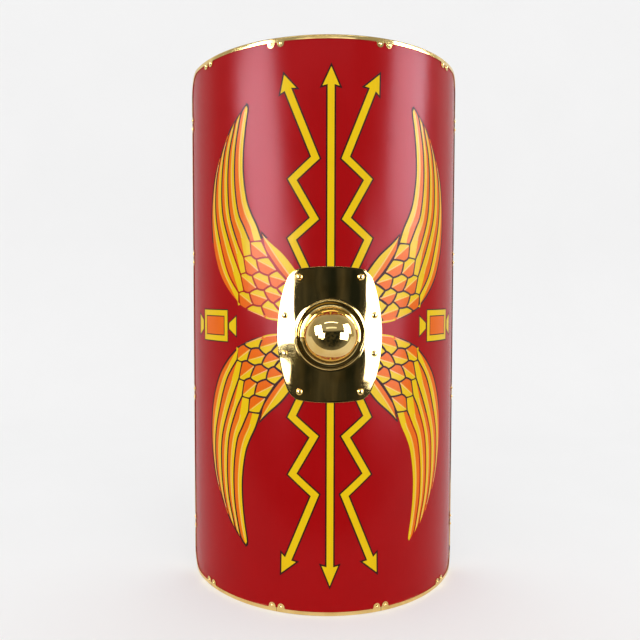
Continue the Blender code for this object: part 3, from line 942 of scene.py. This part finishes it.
@dataclass
class Emblem:
    """Wings, thunderbolts, a long arrow and two side marks, painted by hand on the red.

    One wing and one bolt are drawn for the upper right quarter, in millimetres, and mirrored to the others.
    brushed gives each quarter's wing its own stretch and shift, and leaning_tip is the upper left bolt's.
    """

    form: Form
    wing: Wing = field(default_factory=Wing)
    bolt: Bolt = field(default_factory=lambda: Bolt(
        ((41.0, 106.0), (69.2, 164.8), (28.4, 200.4), (68.3, 270.0), (26.8, 307.0), (76.0, 428.0)),
        ((89.0, 455.0),)))
    arrow: Bolt = field(default_factory=lambda: Bolt(
        ((0.6, -429.0), (0.6, 434.0)), ((1.0, 464.5), (0.4, -463.5)), 12.0))
    mark: SideMark = field(default_factory=SideMark)
    leaning_tip: Point = (83.0, 454.0)
    wing_middle: float = 6.7
    brushed: Dict[Tuple[float, float], Tuple[float, Point]] = field(default_factory=lambda: {
        (-1.0, 1.0): (1.0, (0.0, 0.0)), (1.0, 1.0): (1.0, (6.0, -4.0)),
        (-1.0, -1.0): (1.022, (5.0, 0.0)), (1.0, -1.0): (1.005, (3.0, 1.0))})
    bolt_middle: float = 5.2

    def build(self, paints: Dict[Layer, bpy.types.Material]) -> List[bpy.types.Object]:
        """Paint the emblem.

        Args:
            paints: The paint of each coat.

        Returns:
            One thin film for each coat.
        """
        coats = Coats()
        for side in (-1.0, 1.0):
            for up in (-1.0, 1.0):
                stretch, shift = self.brushed[(side, up)]
                self.wing.paint(Quarter(coats, side, up, self.wing_middle, stretch, shift))
                bolt = replace(self.bolt, tips=(self.leaning_tip,)) if side < 0.0 < up else self.bolt
                bolt.paint(Quarter(coats, side, up, self.bolt_middle))
            self.mark.paint(Quarter(coats, side, 1.0, 0.0))
        self.arrow.paint(Quarter(coats, 1.0, 1.0, 0.0))
        return [self.film(coats, layer, paints[layer]) for layer in Layer]

    def film(self, coats: Coats, layer: Layer, paint: bpy.types.Material) -> bpy.types.Object:
        """Lay one coat of paint on the bent board as a thin film.

        Args:
            coats: The shapes of every coat.
            layer: The coat.
            paint: Its material.

        Returns:
            The film.
        """
        parts = [flat_blank("coat", shape, layer.value, layer.value) for shape in coats.shapes[layer]]
        select_only(*parts)
        bpy.ops.object.join()
        film = parts[0]
        self.form.wrap(film)
        self.face_outward(film)
        smooth(film)
        return finish_piece(film, "emblem_" + layer.name.lower(), "painted_board", [], paint)

    def face_outward(self, film: bpy.types.Object) -> None:
        """Turn every face of a film away from the shield's axis."""
        shape = bmesh.new()
        shape.from_mesh(film.data)
        shape.normal_update()
        axis = Vector((0.0, self.form.axis_y, 0.0))
        inward = []
        for face in shape.faces:
            away = face.calc_center_median() - axis
            away.z = 0.0
            if face.normal.dot(away) < 0.0:
                inward.append(face)
        bmesh.ops.reverse_faces(shape, faces=inward)
        shape.to_mesh(film.data)
        shape.free()


# ------------------------------ edging


@dataclass
class Edging:
    """Sixteen strips of folded brass channel, each with a round riveted ear at both ends."""

    form: Form
    half_arc: float = 370.0 * MM
    half_height: float = 520.0 * MM
    corner: float = 50.0 * MM
    front: float = 1.5 * MM
    back: float = -8.5 * MM
    sheet: float = 1.2 * MM
    width: float = 8.0 * MM
    fold: float = 3.0 * MM
    gap: float = 0.6 * MM
    ear_radius: float = 6.5 * MM
    ear_inset: float = 11.0 * MM
    ear_place: float = 8.75 * MM
    ear_shoulder: float = 16.8 * MM
    end_width: float = 8.8 * MM
    top_joints: Point = (98.0 * MM, 264.0 * MM)
    side_joints: Point = (142.0 * MM, 418.0 * MM)
    slack: float = 3.0 * MM

    def joints(self) -> List[Tuple[Point, Point]]:
        """Places of the joints in order round the shield, each with the way along the edge."""
        inner, outer = self.top_joints
        low, high = self.side_joints
        top = [((x, self.half_height), (-1.0, 0.0)) for x in (outer, inner, -inner, -outer)]
        left = [((-self.half_arc, z), (0.0, -1.0)) for z in (high, low, -low, -high)]
        bottom = [((x, -self.half_height), (1.0, 0.0)) for x in (-outer, -inner, inner, outer)]
        right = [((self.half_arc, z), (0.0, 1.0)) for z in (-high, -low, low, high)]
        return top + left + bottom + right

    @staticmethod
    def along(joint: Tuple[Point, Point], distance: float, inset: float) -> Point:
        """Point at a distance along the edge from a joint, and in from the edge."""
        (x, z), (way_x, way_z) = joint
        return (x + way_x * distance - way_z * inset, z + way_z * distance + way_x * inset)

    def rivet_places(self) -> List[Point]:
        """Flat places of the rivets, two at every joint."""
        return [self.along(joint, sign * self.ear_place, self.ear_inset)
                for joint in self.joints() for sign in (-1.0, 1.0)]

    def rounded(self, inset: float) -> Outline:
        """The shield's outline drawn in by a distance."""
        points: Outline = []
        radius = self.corner - inset
        for index, (sx, sz) in enumerate(((1, 1), (-1, 1), (-1, -1), (1, -1))):
            centre = (sx * (self.half_arc - self.corner), sz * (self.half_height - self.corner))
            points += arc(centre, radius, 90.0 * index, 90.0 * index + 90.0, 16)
        return points

    def ear(self, joint: Tuple[Point, Point], sign: float) -> Outline:
        """Round ear on the strip's inner side; sign 1 lies ahead of the joint."""
        points = [self.along(joint, sign * self.ear_shoulder, self.width)]
        for step in range(19):
            angle = math.radians(-12.0 + 204.0 * step / 18)
            distance = sign * (self.ear_place + self.ear_radius * math.cos(angle))
            points.append(self.along(joint, distance, self.ear_inset + self.ear_radius * math.sin(angle)))
        return points

    def strip_outline(self, start: Tuple[Point, Point], end: Tuple[Point, Point]) -> Outline:
        """Outline of one strip's blank, wide enough to be trimmed to the folded body."""
        half = 0.5 * self.gap
        outer = [self.along(start, half, -self.slack)]
        inner = [self.along(start, half, self.end_width)] + self.ear(start, 1.0)[::-1]
        if start[1] != end[1]:
            centre = (math.copysign(self.half_arc - self.corner, start[0][0] + end[0][0]),
                      math.copysign(self.half_height - self.corner, start[0][1] + end[0][1]))
            first = math.degrees(math.atan2(-start[1][0], start[1][1]))
            outer += arc(centre, self.corner + self.slack, first, first + 90.0, 16)
            inner += arc(centre, self.corner - self.width, first, first + 90.0, 16)
        outer.append(self.along(end, -half, -self.slack))
        inner += self.ear(end, -1.0) + [self.along(end, -half, self.end_width)]
        return outer + inner[::-1]

    def folded_body(self) -> bpy.types.Object:
        """The whole edging as a solid slab whose outer edges are rounded as the fold is."""
        body = flat_blank("edging_body", [self.rounded(0.0)], self.front, self.back)
        with editing(body) as shape:
            bpy.ops.mesh.select_all(action="SELECT")
            bpy.ops.mesh.dissolve_limited(angle_limit=math.radians(0.5))
            bpy.ops.mesh.select_all(action="DESELECT")
            for edge in shape.edges:
                first, second = edge.verts
                edge.select_set(abs(first.co.y - second.co.y) < 0.01 * MM)
            bmesh.update_edit_mesh(body.data)
            bpy.ops.mesh.bevel(offset=self.fold, segments=6, profile=0.5)
        return body

    @staticmethod
    def node_name(index: int) -> str:
        """CAD node of a strip: its side of the shield and its number along it."""
        sides = ("top", "left", "bottom", "right")
        side, number = divmod(index, 4)
        if number == 3:
            return "edge_corner_%s_%s" % (sides[side], sides[(side + 1) % 4])
        return "edge_%s_%d" % (sides[side], number + 1)

    def build(self, brass: bpy.types.Material) -> List[bpy.types.Object]:
        """Cut, fold and bend the sixteen strips."""
        body = self.folded_body()
        slot = flat_blank("edging_slot", [self.rounded(self.sheet)], self.front - self.sheet,
                          self.back + self.sheet)
        joints = self.joints()
        strips = []
        for index, start in enumerate(joints):
            outline = self.strip_outline(start, joints[(index + 1) % len(joints)])
            strip = flat_blank("strip", [outline], self.front + self.slack, self.back - self.slack)
            combine(strip, body, "INTERSECT")
            combine(strip, slot, "DIFFERENCE")
            close_seams(strip)
            self.form.wrap(strip)
            smooth(strip, 40.0)
            name = self.node_name(index)
            strips.append(finish_piece(strip, "brass_" + name, "edging_brass", [name], brass))
        discard(body, slot)
        return strips


# ------------------------------ boss and grip


@dataclass
class Boss:
    """Boss of one sheet of brass: a bent plate that rises through a collar and a cove into a dome."""

    form: Form
    drop: float = 6.0 * MM
    half_width: float = 96.0 * MM
    half_height: float = 120.5 * MM
    side_radius: float = 273.0 * MM
    corner: float = 37.0 * MM
    arch: float = 1.5 * MM
    arch_fall: float = 1.25
    sheet: float = 1.5 * MM
    lift: float = 1.8 * MM
    collar: float = 62.5 * MM
    collar_height: float = 9.5 * MM
    crest: float = 2.2 * MM
    dome: float = 49.5 * MM
    apex: float = 60.0 * MM
    cove: float = 5.0 * MM
    moat: float = 1.7 * MM
    rivets_corner: Point = (55.0 * MM, 103.0 * MM)
    rivets_side: Point = (81.5 * MM, 34.5 * MM)
    spokes: int = 176
    plate_steps: int = 16
    foot_spread: float = 1.2 * MM
    dressed_edge: float = 0.45 * MM
    collar_steps: Tuple[Point, ...] = ((0.55, 0.0), (0.86, 0.15 * MM), (0.97, 0.6 * MM))

    def outline_point(self, angle: float) -> Point:
        """Where a ray from the middle of the plate meets its outline."""
        way = Vector((math.cos(angle), math.sin(angle)))
        low, high = 0.0, 0.2
        for _ in range(32):
            middle = 0.5 * (low + high)
            if self.inside(abs(way.x) * middle, abs(way.y) * middle):
                low = middle
            else:
                high = middle
        return (way.x * low, way.y * low)

    def inside(self, x: float, z: float) -> bool:
        """Whether a point of the plate's upper right quarter is on it."""
        side_x = self.half_width - self.side_radius
        top = self.half_height + self.arch - self.arch_fall * x * x
        if z > top or math.hypot(x - side_x, z) > self.side_radius:
            return False
        corner_z = self.half_height - self.corner
        reach = self.side_radius - self.corner
        corner_x = math.sqrt(reach * reach - corner_z * corner_z) + side_x
        beyond_top = z > corner_z and x > corner_x
        if beyond_top and (z - corner_z) * (corner_x - side_x) > (x - corner_x) * corner_z:
            return math.hypot(x - corner_x, z - corner_z) <= self.corner
        return True

    def dome_profile(self) -> Outline:
        """Half section from the tip of the dome to the foot of the collar, as radius and height."""
        centre = self.apex - self.dome
        cove_height = self.collar_height - self.moat + self.cove
        cove_centre = math.sqrt((self.dome + self.cove) ** 2 - (cove_height - centre) ** 2)
        meet = math.degrees(math.atan2(cove_height - centre, cove_centre))
        profile = arc((0.0, centre), self.dome, 90.0, meet, 30)
        profile += arc((cove_centre, cove_height), self.cove, 180.0 + meet, 297.0, 12)[1:]
        rounding = (self.collar - self.crest, self.collar_height - self.crest)
        profile += arc(rounding, self.crest, 117.0, 0.0, 9)
        return profile

    def collar_ring(self, angles: Sequence[float], share: float, radius: float) -> List[Vector]:
        """A ring at a share of the way down from the collar's rim to the bent plate."""
        reach = self.form.radius + self.lift
        face_y = self.form.axis_y - self.form.radius
        start_y = face_y - self.collar_height + self.crest
        ring = []
        for a in angles:
            x = radius * math.cos(a)
            plate_y = self.form.axis_y - math.sqrt(reach * reach - x * x)
            rise = self.form.middle - self.drop + radius * math.sin(a)
            ring.append(Vector((x, start_y + (plate_y - start_y) * share, rise)))
        return ring

    def plate_ring(self, angles: Sequence[float], share: float) -> List[Vector]:
        """A ring at a share of the way out from the collar's foot to the plate's outline."""
        foot = self.collar + self.foot_spread
        reach = self.form.radius + self.lift
        ring = []
        for a in angles:
            start = (self.form.radius * math.asin(foot * math.cos(a) / reach), foot * math.sin(a))
            end = self.outline_point(a)
            across = start[0] + (end[0] - start[0]) * share
            rise = start[1] + (end[1] - start[1]) * share
            ring.append(self.form.place(across, rise - self.drop, self.lift))
        return ring

    def rings(self) -> List[List[Vector]]:
        """The rings of the raised sheet, from the tip of the dome out to the edge of the plate."""
        middle = self.form.middle - self.drop
        face_y = self.form.axis_y - self.form.radius
        angles = [2.0 * math.pi * index / self.spokes for index in range(self.spokes)]
        rings = [[Vector((radius * math.cos(a), face_y - height, middle + radius * math.sin(a)))
                  for a in angles] for radius, height in self.dome_profile()[1:]]
        for share, spread_out in self.collar_steps:
            rings.append(self.collar_ring(angles, share, self.collar + spread_out))
        shares = [step / self.plate_steps for step in range(self.plate_steps + 1)]
        return rings + [self.plate_ring(angles, share) for share in shares]

    def build(self, brass: bpy.types.Material) -> bpy.types.Object:
        """Raise the boss as one sheet, then give it its thickness."""
        shape = bmesh.new()
        face_y = self.form.axis_y - self.form.radius
        tip = shape.verts.new((0.0, face_y - self.apex, self.form.middle - self.drop))
        rings = [[shape.verts.new(spot) for spot in ring] for ring in self.rings()]
        for index in range(self.spokes):
            after = (index + 1) % self.spokes
            shape.faces.new((tip, rings[0][after], rings[0][index]))
            for inner, outer in zip(rings, rings[1:]):
                shape.faces.new((inner[index], inner[after], outer[after], outer[index]))
        boss = mesh_object("boss_shell", shape)
        close_seams(boss)
        self.face_front(boss)
        wall = boss.modifiers.new("sheet", "SOLIDIFY")
        wall.thickness = self.sheet
        wall.offset = -1.0
        add_bevel(boss, self.dressed_edge, 3)
        apply_modifiers(boss)
        smooth(boss, 50.0)
        return finish_piece(boss, "boss_shell", "boss_brass", ["boss"], brass)

    @staticmethod
    def face_front(boss: bpy.types.Object) -> None:
        """Turn the open sheet's faces to the front if they look backward."""
        total = sum(face.normal.y * face.area for face in boss.data.polygons)
        if total > 0.0:
            with editing(boss):
                bpy.ops.mesh.select_all(action="SELECT")
                bpy.ops.mesh.flip_normals()

    def rivet_places(self) -> List[Point]:
        """Flat places of the rivets: four in the corners, then four at the sides."""
        return [(sx * x, sz * z - self.drop) for x, z in (self.rivets_corner, self.rivets_side)
                for sx in (-1, 1) for sz in (1, -1)]


@dataclass
class Rivets:
    """Domed brass rivets: small ones in the edging's ears and large ones in the boss plate."""

    form: Form
    small_head: float = 2.6 * MM
    small_rise: float = 1.6 * MM
    small_base: float = 1.8 * MM
    small_shank: float = 1.5 * MM
    small_back: float = -8.8 * MM
    large_head: float = 6.0 * MM
    large_rise: float = 4.0 * MM
    large_base: float = 2.1 * MM
    large_shank: float = 2.2 * MM
    board_back: float = -7.3 * MM
    blind_end: float = -13.3 * MM

    @staticmethod
    def profile(head: float, rise: float, base: float, shank: float, back: float, peened: bool) -> Outline:
        """Half section of a rivet from the top of its head to the end of its shank.

        Args:
            head: Radius of the head.
            rise: Height of the head.
            base: Outward place of the head's underside.
            shank: Radius of the shank.
            back: Outward place of the surface that it is peened on, or where it ends.
            peened: Whether it is spread over at the back.

        Returns:
            Radius and height of each point.
        """
        points = [(head * math.sin(math.radians(a)), base + rise * math.cos(math.radians(a)))
                  for a in range(0, 90, 9)]
        points += [(head, base + 0.06 * rise), (head - 0.04 * rise, base), (shank, base), (shank, back)]
        if peened:
            points += [(1.7 * shank, back), (1.5 * shank, back - 0.5 * MM), (0.8 * shank, back - 0.8 * MM)]
        points.append((0.0, points[-1][1]))
        points[0] = (0.0, base + rise)
        return points

    def set_in(self, master: bpy.types.Object, name: str, node: str, place: Point,
               brass: bpy.types.Material) -> None:
        """Copy the turned rivet, with its own mesh, and set it in its hole."""
        rivet = master.copy()
        rivet.data = master.data.copy()
        bpy.context.scene.collection.objects.link(rivet)
        rivet.data.transform(self.form.standing(place[0], place[1]))
        finish_piece(rivet, name, "rivet_brass", [node], brass)

    def build(self, edging: Edging, boss: Boss, brass: bpy.types.Material) -> None:
        """Set every rivet.

        Args:
            edging: The edging whose ears the small rivets go through.
            boss: The boss whose plate the large rivets go through.
            brass: Their metal.
        """
        small = turned("small_rivet", self.profile(self.small_head, self.small_rise, self.small_base,
                                                   self.small_shank, self.small_back, True), 24)
        large = (self.large_head, self.large_rise, self.large_base, self.large_shank)
        peened = turned("large_rivet", self.profile(*large, self.board_back, True), 40)
        blind = turned("grip_rivet", self.profile(*large, self.blind_end, False), 40)
        for master in (small, peened, blind):
            smooth(master, 50.0)
        for number, place in enumerate(edging.rivet_places(), start=1):
            self.set_in(small, "ear_rivet_%02d" % number, "edge_rivet_%02d" % number, place, brass)
        for number, place in enumerate(boss.rivet_places(), start=1):
            master = peened if number <= 4 else blind
            self.set_in(master, "plate_rivet_%d" % number, "boss_rivet_%d" % number, place, brass)
        discard(small, peened, blind)


@dataclass
class Grip:
    """Wooden bar across the hand hole, with a foot at each end that follows the board's hollow side."""

    form: Form
    drop: float = 6.0 * MM
    bar: float = 17.0 * MM
    foot: float = 45.0 * MM
    half_length: float = 98.0 * MM
    foot_length: float = 34.0 * MM
    neck: float = 46.0 * MM
    seat: float = -7.3 * MM
    depth: float = 30.0 * MM
    rounding: float = 4.5 * MM
    foot_corner: float = 12.0 * MM
    stock: float = 20.0 * MM

    def outline(self) -> Outline:
        """The grip seen from behind, drawn with flowing shoulders between the bar and the feet."""
        start = self.half_length - self.foot_length
        corner = self.foot_corner
        quarter = [(0.0, self.bar)]
        quarter += bezier(((self.neck - 6.0 * MM, self.bar), (self.neck + 12.0 * MM, self.bar),
                           (start - 12.0 * MM, self.foot), (start + 10.0 * MM, self.foot)), 14)
        quarter += arc((self.half_length - corner, self.foot - corner), corner, 90.0, 0.0, 8)
        right = quarter + [(x, -z) for x, z in quarter[::-1][:-1]] + [(0.0, -self.bar)]
        left = [(-x, z) for x, z in right[::-1][1:-1]]
        return right + left

    def build(self, wood: bpy.types.Material) -> bpy.types.Object:
        """Saw, round over and seat the grip."""
        face_y = self.form.axis_y - self.form.radius
        grip = flat_blank("grip_bar", [self.outline()], self.stock, self.seat - self.depth)
        grip.data.transform(Matrix.Translation((0.0, face_y, self.form.middle - self.drop)))
        with editing(grip):
            bpy.ops.mesh.select_all(action="SELECT")
            bpy.ops.mesh.dissolve_limited(angle_limit=math.radians(0.5))
        add_bevel(grip, self.rounding, 5)
        apply_modifiers(grip)
        bpy.ops.mesh.primitive_cylinder_add(vertices=360, radius=self.form.radius + self.seat, depth=0.4,
                                            location=(0.0, self.form.axis_y, self.form.middle))
        hollow = bpy.context.view_layer.objects.active
        combine(grip, hollow, "INTERSECT")
        discard(hollow)
        close_seams(grip)
        smooth(grip, 40.0)
        return finish_piece(grip, "grip_bar", "grip_wood", ["grip"], wood)


# ------------------------------ studio


@dataclass(frozen=True)
class Softbox:
    """A flat studio lamp that shows as a sheen or a mirrored shape, but leaves matt things evenly lit.

    Azimuth, lean and pitch are in degrees, sizes in metres; azimuth 0 is in front of the shield.
    """

    name: str
    azimuth: float
    distance: float
    height: float
    length: float
    width: float
    lean: float
    radiance: float
    pitch: float = 0.0
    colour: Tuple[float, float, float] = (0.94, 1.0, 1.18)

    def build(self, target: Vector) -> bpy.types.Object:
        """Hang the lamp.

        Args:
            target: The point on the floor below what it lights.

        Returns:
            The lamp object.
        """
        data = bpy.data.lights.new(self.name, "AREA")
        data.shape = "RECTANGLE"
        data.size = self.width
        data.size_y = self.length
        data.energy = self.radiance * math.pi * data.size * data.size_y
        data.color = self.colour
        lamp = linked(self.name, data)
        turn = math.radians(self.azimuth)
        away = Vector((math.sin(turn), -math.cos(turn), 0.0))
        lamp.location = target + away * self.distance + Vector((0.0, 0.0, self.height))
        lamp.rotation_mode = "QUATERNION"
        lean = Quaternion((0.0, 0.0, 1.0), math.radians(self.lean))
        pitch = Quaternion((1.0, 0.0, 0.0), -math.radians(self.pitch))
        lamp.rotation_quaternion = (-away).to_track_quat("-Z", "Y") @ pitch @ lean
        lamp.visible_camera = False
        lamp.visible_diffuse = False
        return lamp


@dataclass
class Studio:
    """Pale paper sweep, softboxes at both sides, two strips above and a dim room behind the camera."""

    form: Form
    sweep_back: float = 2.2
    sweep_radius: float = 0.9
    sweep_height: float = 5.0
    sweep_half_width: float = 7.0
    sweep_front: float = 0.42
    floor_front: float = 5.0
    corner_dark: Colour = (0.014, 0.018, 0.016, 1.0)
    corner_light: Colour = (0.085, 0.080, 0.062, 1.0)
    paper_side: Colour = (0.62, 0.62, 0.60, 1.0)
    ceiling: Colour = (0.40, 0.40, 0.38, 1.0)
    even_light: Colour = (1.05, 1.05, 1.05, 1.0)

    def build(self, paper: bpy.types.Material) -> None:
        """Set up the floor, the lamps and the room."""
        line = [(-self.sweep_front, 0.0)]
        centre = (self.sweep_back - self.sweep_radius, self.sweep_radius)
        line += arc(centre, self.sweep_radius, -90.0, 0.0, 24)
        line.append((self.sweep_back, self.sweep_height))
        self.sheet("paper_sweep", line, paper)
        floor = self.sheet("studio_floor", [(-self.floor_front, 0.0), (-self.sweep_front, 0.0)], paper)
        floor.visible_glossy = False
        base = Vector((0.0, self.form.axis_y - self.form.radius, 0.0))
        lamps = (
            Softbox("softbox_left_high", -58.0, 1.75, 1.30, 1.15, 0.98, 28.0, 20.0),
            Softbox("softbox_left_side", -39.5, 1.75, 0.61, 0.56, 0.76, 3.0, 13.0),
            Softbox("softbox_left_low", -35.5, 1.72, 0.22, 0.12, 0.26, 0.0, 6.0),
            Softbox("softbox_right_high", 74.0, 1.75, 1.32, 1.05, 1.04, -14.0, 16.0),
            Softbox("softbox_right_side", 53.0, 1.75, 0.48, 0.76, 1.12, -7.0, 9.0),
            Softbox("ceiling_strip", 0.0, 1.20, 2.42, 0.10, 2.00, 0.0, 7.0, 57.0),
            Softbox("far_window", 0.0, 2.00, 1.91, 0.26, 1.80, 0.0, 1.3, 30.0),
        )
        for lamp in lamps:
            lamp.build(base)
        self.room()
        self.camera()

    def sheet(self, name: str, line: Sequence[Point], paper: bpy.types.Material) -> bpy.types.Object:
        """Draw a line of depth and height out sideways into a sheet of paper.

        Args:
            name: Name of the sheet.
            line: Its section.
            paper: Its material.

        Returns:
            The sheet, kept as part of the stage.
        """
        shape = bmesh.new()
        rows = [[shape.verts.new((x, y, z)) for y, z in line]
                for x in (-self.sweep_half_width, self.sweep_half_width)]
        for index in range(len(line) - 1):
            shape.faces.new((rows[0][index], rows[1][index], rows[1][index + 1], rows[0][index + 1]))
        sheet = mesh_object(name, shape)
        smooth(sheet, 60.0)
        sheet.data.materials.append(paper)
        return sheet

    def room(self) -> None:
        """The room: pale where the camera looks, even on matt things, dim in what the metal mirrors."""
        world = bpy.data.worlds.new("room")
        bpy.context.scene.world = world
        world.use_nodes = True
        tree = world.node_tree
        background = tree.nodes["Background"]
        way = add_node(tree, "ShaderNodeTexCoord").outputs["Generated"]
        axes = add_node(tree, "ShaderNodeSeparateXYZ", {}, {"Vector": way})
        span = {"From Min": -1.0, "From Max": 1.0}
        depth = spread(tree, axes.outputs["Y"], 0.0, 1.0, **span)
        height = spread(tree, axes.outputs["Z"], 0.0, 1.0, **span)
        dim = ramp(tree, noise(tree, way, 5.0, 3.0), 0.38, 0.66, self.corner_dark, self.corner_light)
        reach = spread(tree, depth, 0.0, 1.0, **{"From Min": 0.10, "From Max": 0.72})
        wall_mix = add_node(tree, "ShaderNodeMix", {"data_type": "RGBA", 7: self.paper_side},
                            {0: reach, 6: dim})
        wall = wall_mix.outputs[2]
        ceiling = ramp(tree, height, 0.65, 0.70, (0.0, 0.0, 0.0, 1.0), self.ceiling)
        mirrored = add_node(tree, "ShaderNodeMix", {"data_type": "RGBA", "blend_type": "LIGHTEN", 0: 1.0},
                            {6: wall, 7: ceiling})
        rays = add_node(tree, "ShaderNodeLightPath")
        matt = add_node(tree, "ShaderNodeMix", {"data_type": "RGBA", 7: self.even_light},
                        {0: rays.outputs["Is Diffuse Ray"], 6: mirrored.outputs[2]})
        seen = add_node(tree, "ShaderNodeMix", {"data_type": "RGBA", 7: from_hex("#EFEFEF")},
                        {0: rays.outputs["Is Camera Ray"], 6: matt.outputs[2]})
        tree.links.new(seen.outputs[2], background.inputs["Color"])

    def camera(self) -> None:
        """The camera: close to the shield, a little left of and above its middle, with a slight tilt."""
        data = bpy.data.cameras.new("camera")
        data.sensor_width = 36.0
        data.lens = 33.05
        data.shift_x = 0.0394
        data.clip_start = 0.05
        camera = linked("camera", data)
        front = self.form.axis_y - self.form.radius - 1.5 * MM
        camera.location = (-0.0736, front - 1.0435, self.form.middle + 0.0671)
        camera.rotation_euler = (math.radians(90.0) - 0.04449, 0.0, -0.01012)
        bpy.context.scene.camera = camera


# ------------------------------ main


def carry_over_finishes(brass: bpy.types.Material) -> None:
    """Dress the CAD nodes with the procedural metal, so that none keeps a plain colour."""
    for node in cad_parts.values():
        node.data.materials.clear()
        node.data.materials.append(brass)


def main() -> None:
    """Build the shield and its studio."""
    logging.basicConfig(level=logging.INFO, format="%(name)s %(message)s")
    bpy.context.scene.view_settings.view_transform = "Standard"
    form = Form()
    edging_brass = PolishedBrass("folded_edging_brass", roughness=0.16, hollow_depth=0.12).build()
    boss_brass = PolishedBrass("mirror_boss_brass", roughness=0.05).build()
    rivet_brass = PolishedBrass("domed_rivet_brass", roughness=0.12, hollow_depth=0.0).build()
    Board(form).build(
        BrushedPaint("red_satin_paint", "#A80004", "#A10003").build(),
        BrushedPaint("red_back_paint", "#7E0F10", "#6C0B0C", roughness=0.55, specular=0.3).build(),
    )
    Emblem(form).build({
        Layer.OUTLINE: BrushedPaint("dark_outline_paint", "#3A0D08", "#2A0805", roughness=0.4).build(),
        Layer.YELLOW: BrushedPaint("yellow_paint", "#EFC808", "#E8BE06").build(),
        Layer.ORANGE: BrushedPaint("orange_paint", "#EE7008", "#E66404").build(),
        Layer.PALE: BrushedPaint("pale_highlight_paint", "#F8BE7C", "#F2AE68").build(),
    })
    edging = Edging(form)
    edging.build(edging_brass)
    boss = Boss(form)
    boss.build(boss_brass)
    Rivets(form).build(edging, boss, rivet_brass)
    Grip(form).build(OiledAsh().build())
    carry_over_finishes(edging_brass)
    Studio(form).build(StudioPaper().build())


if __name__ == "__main__":
    main()
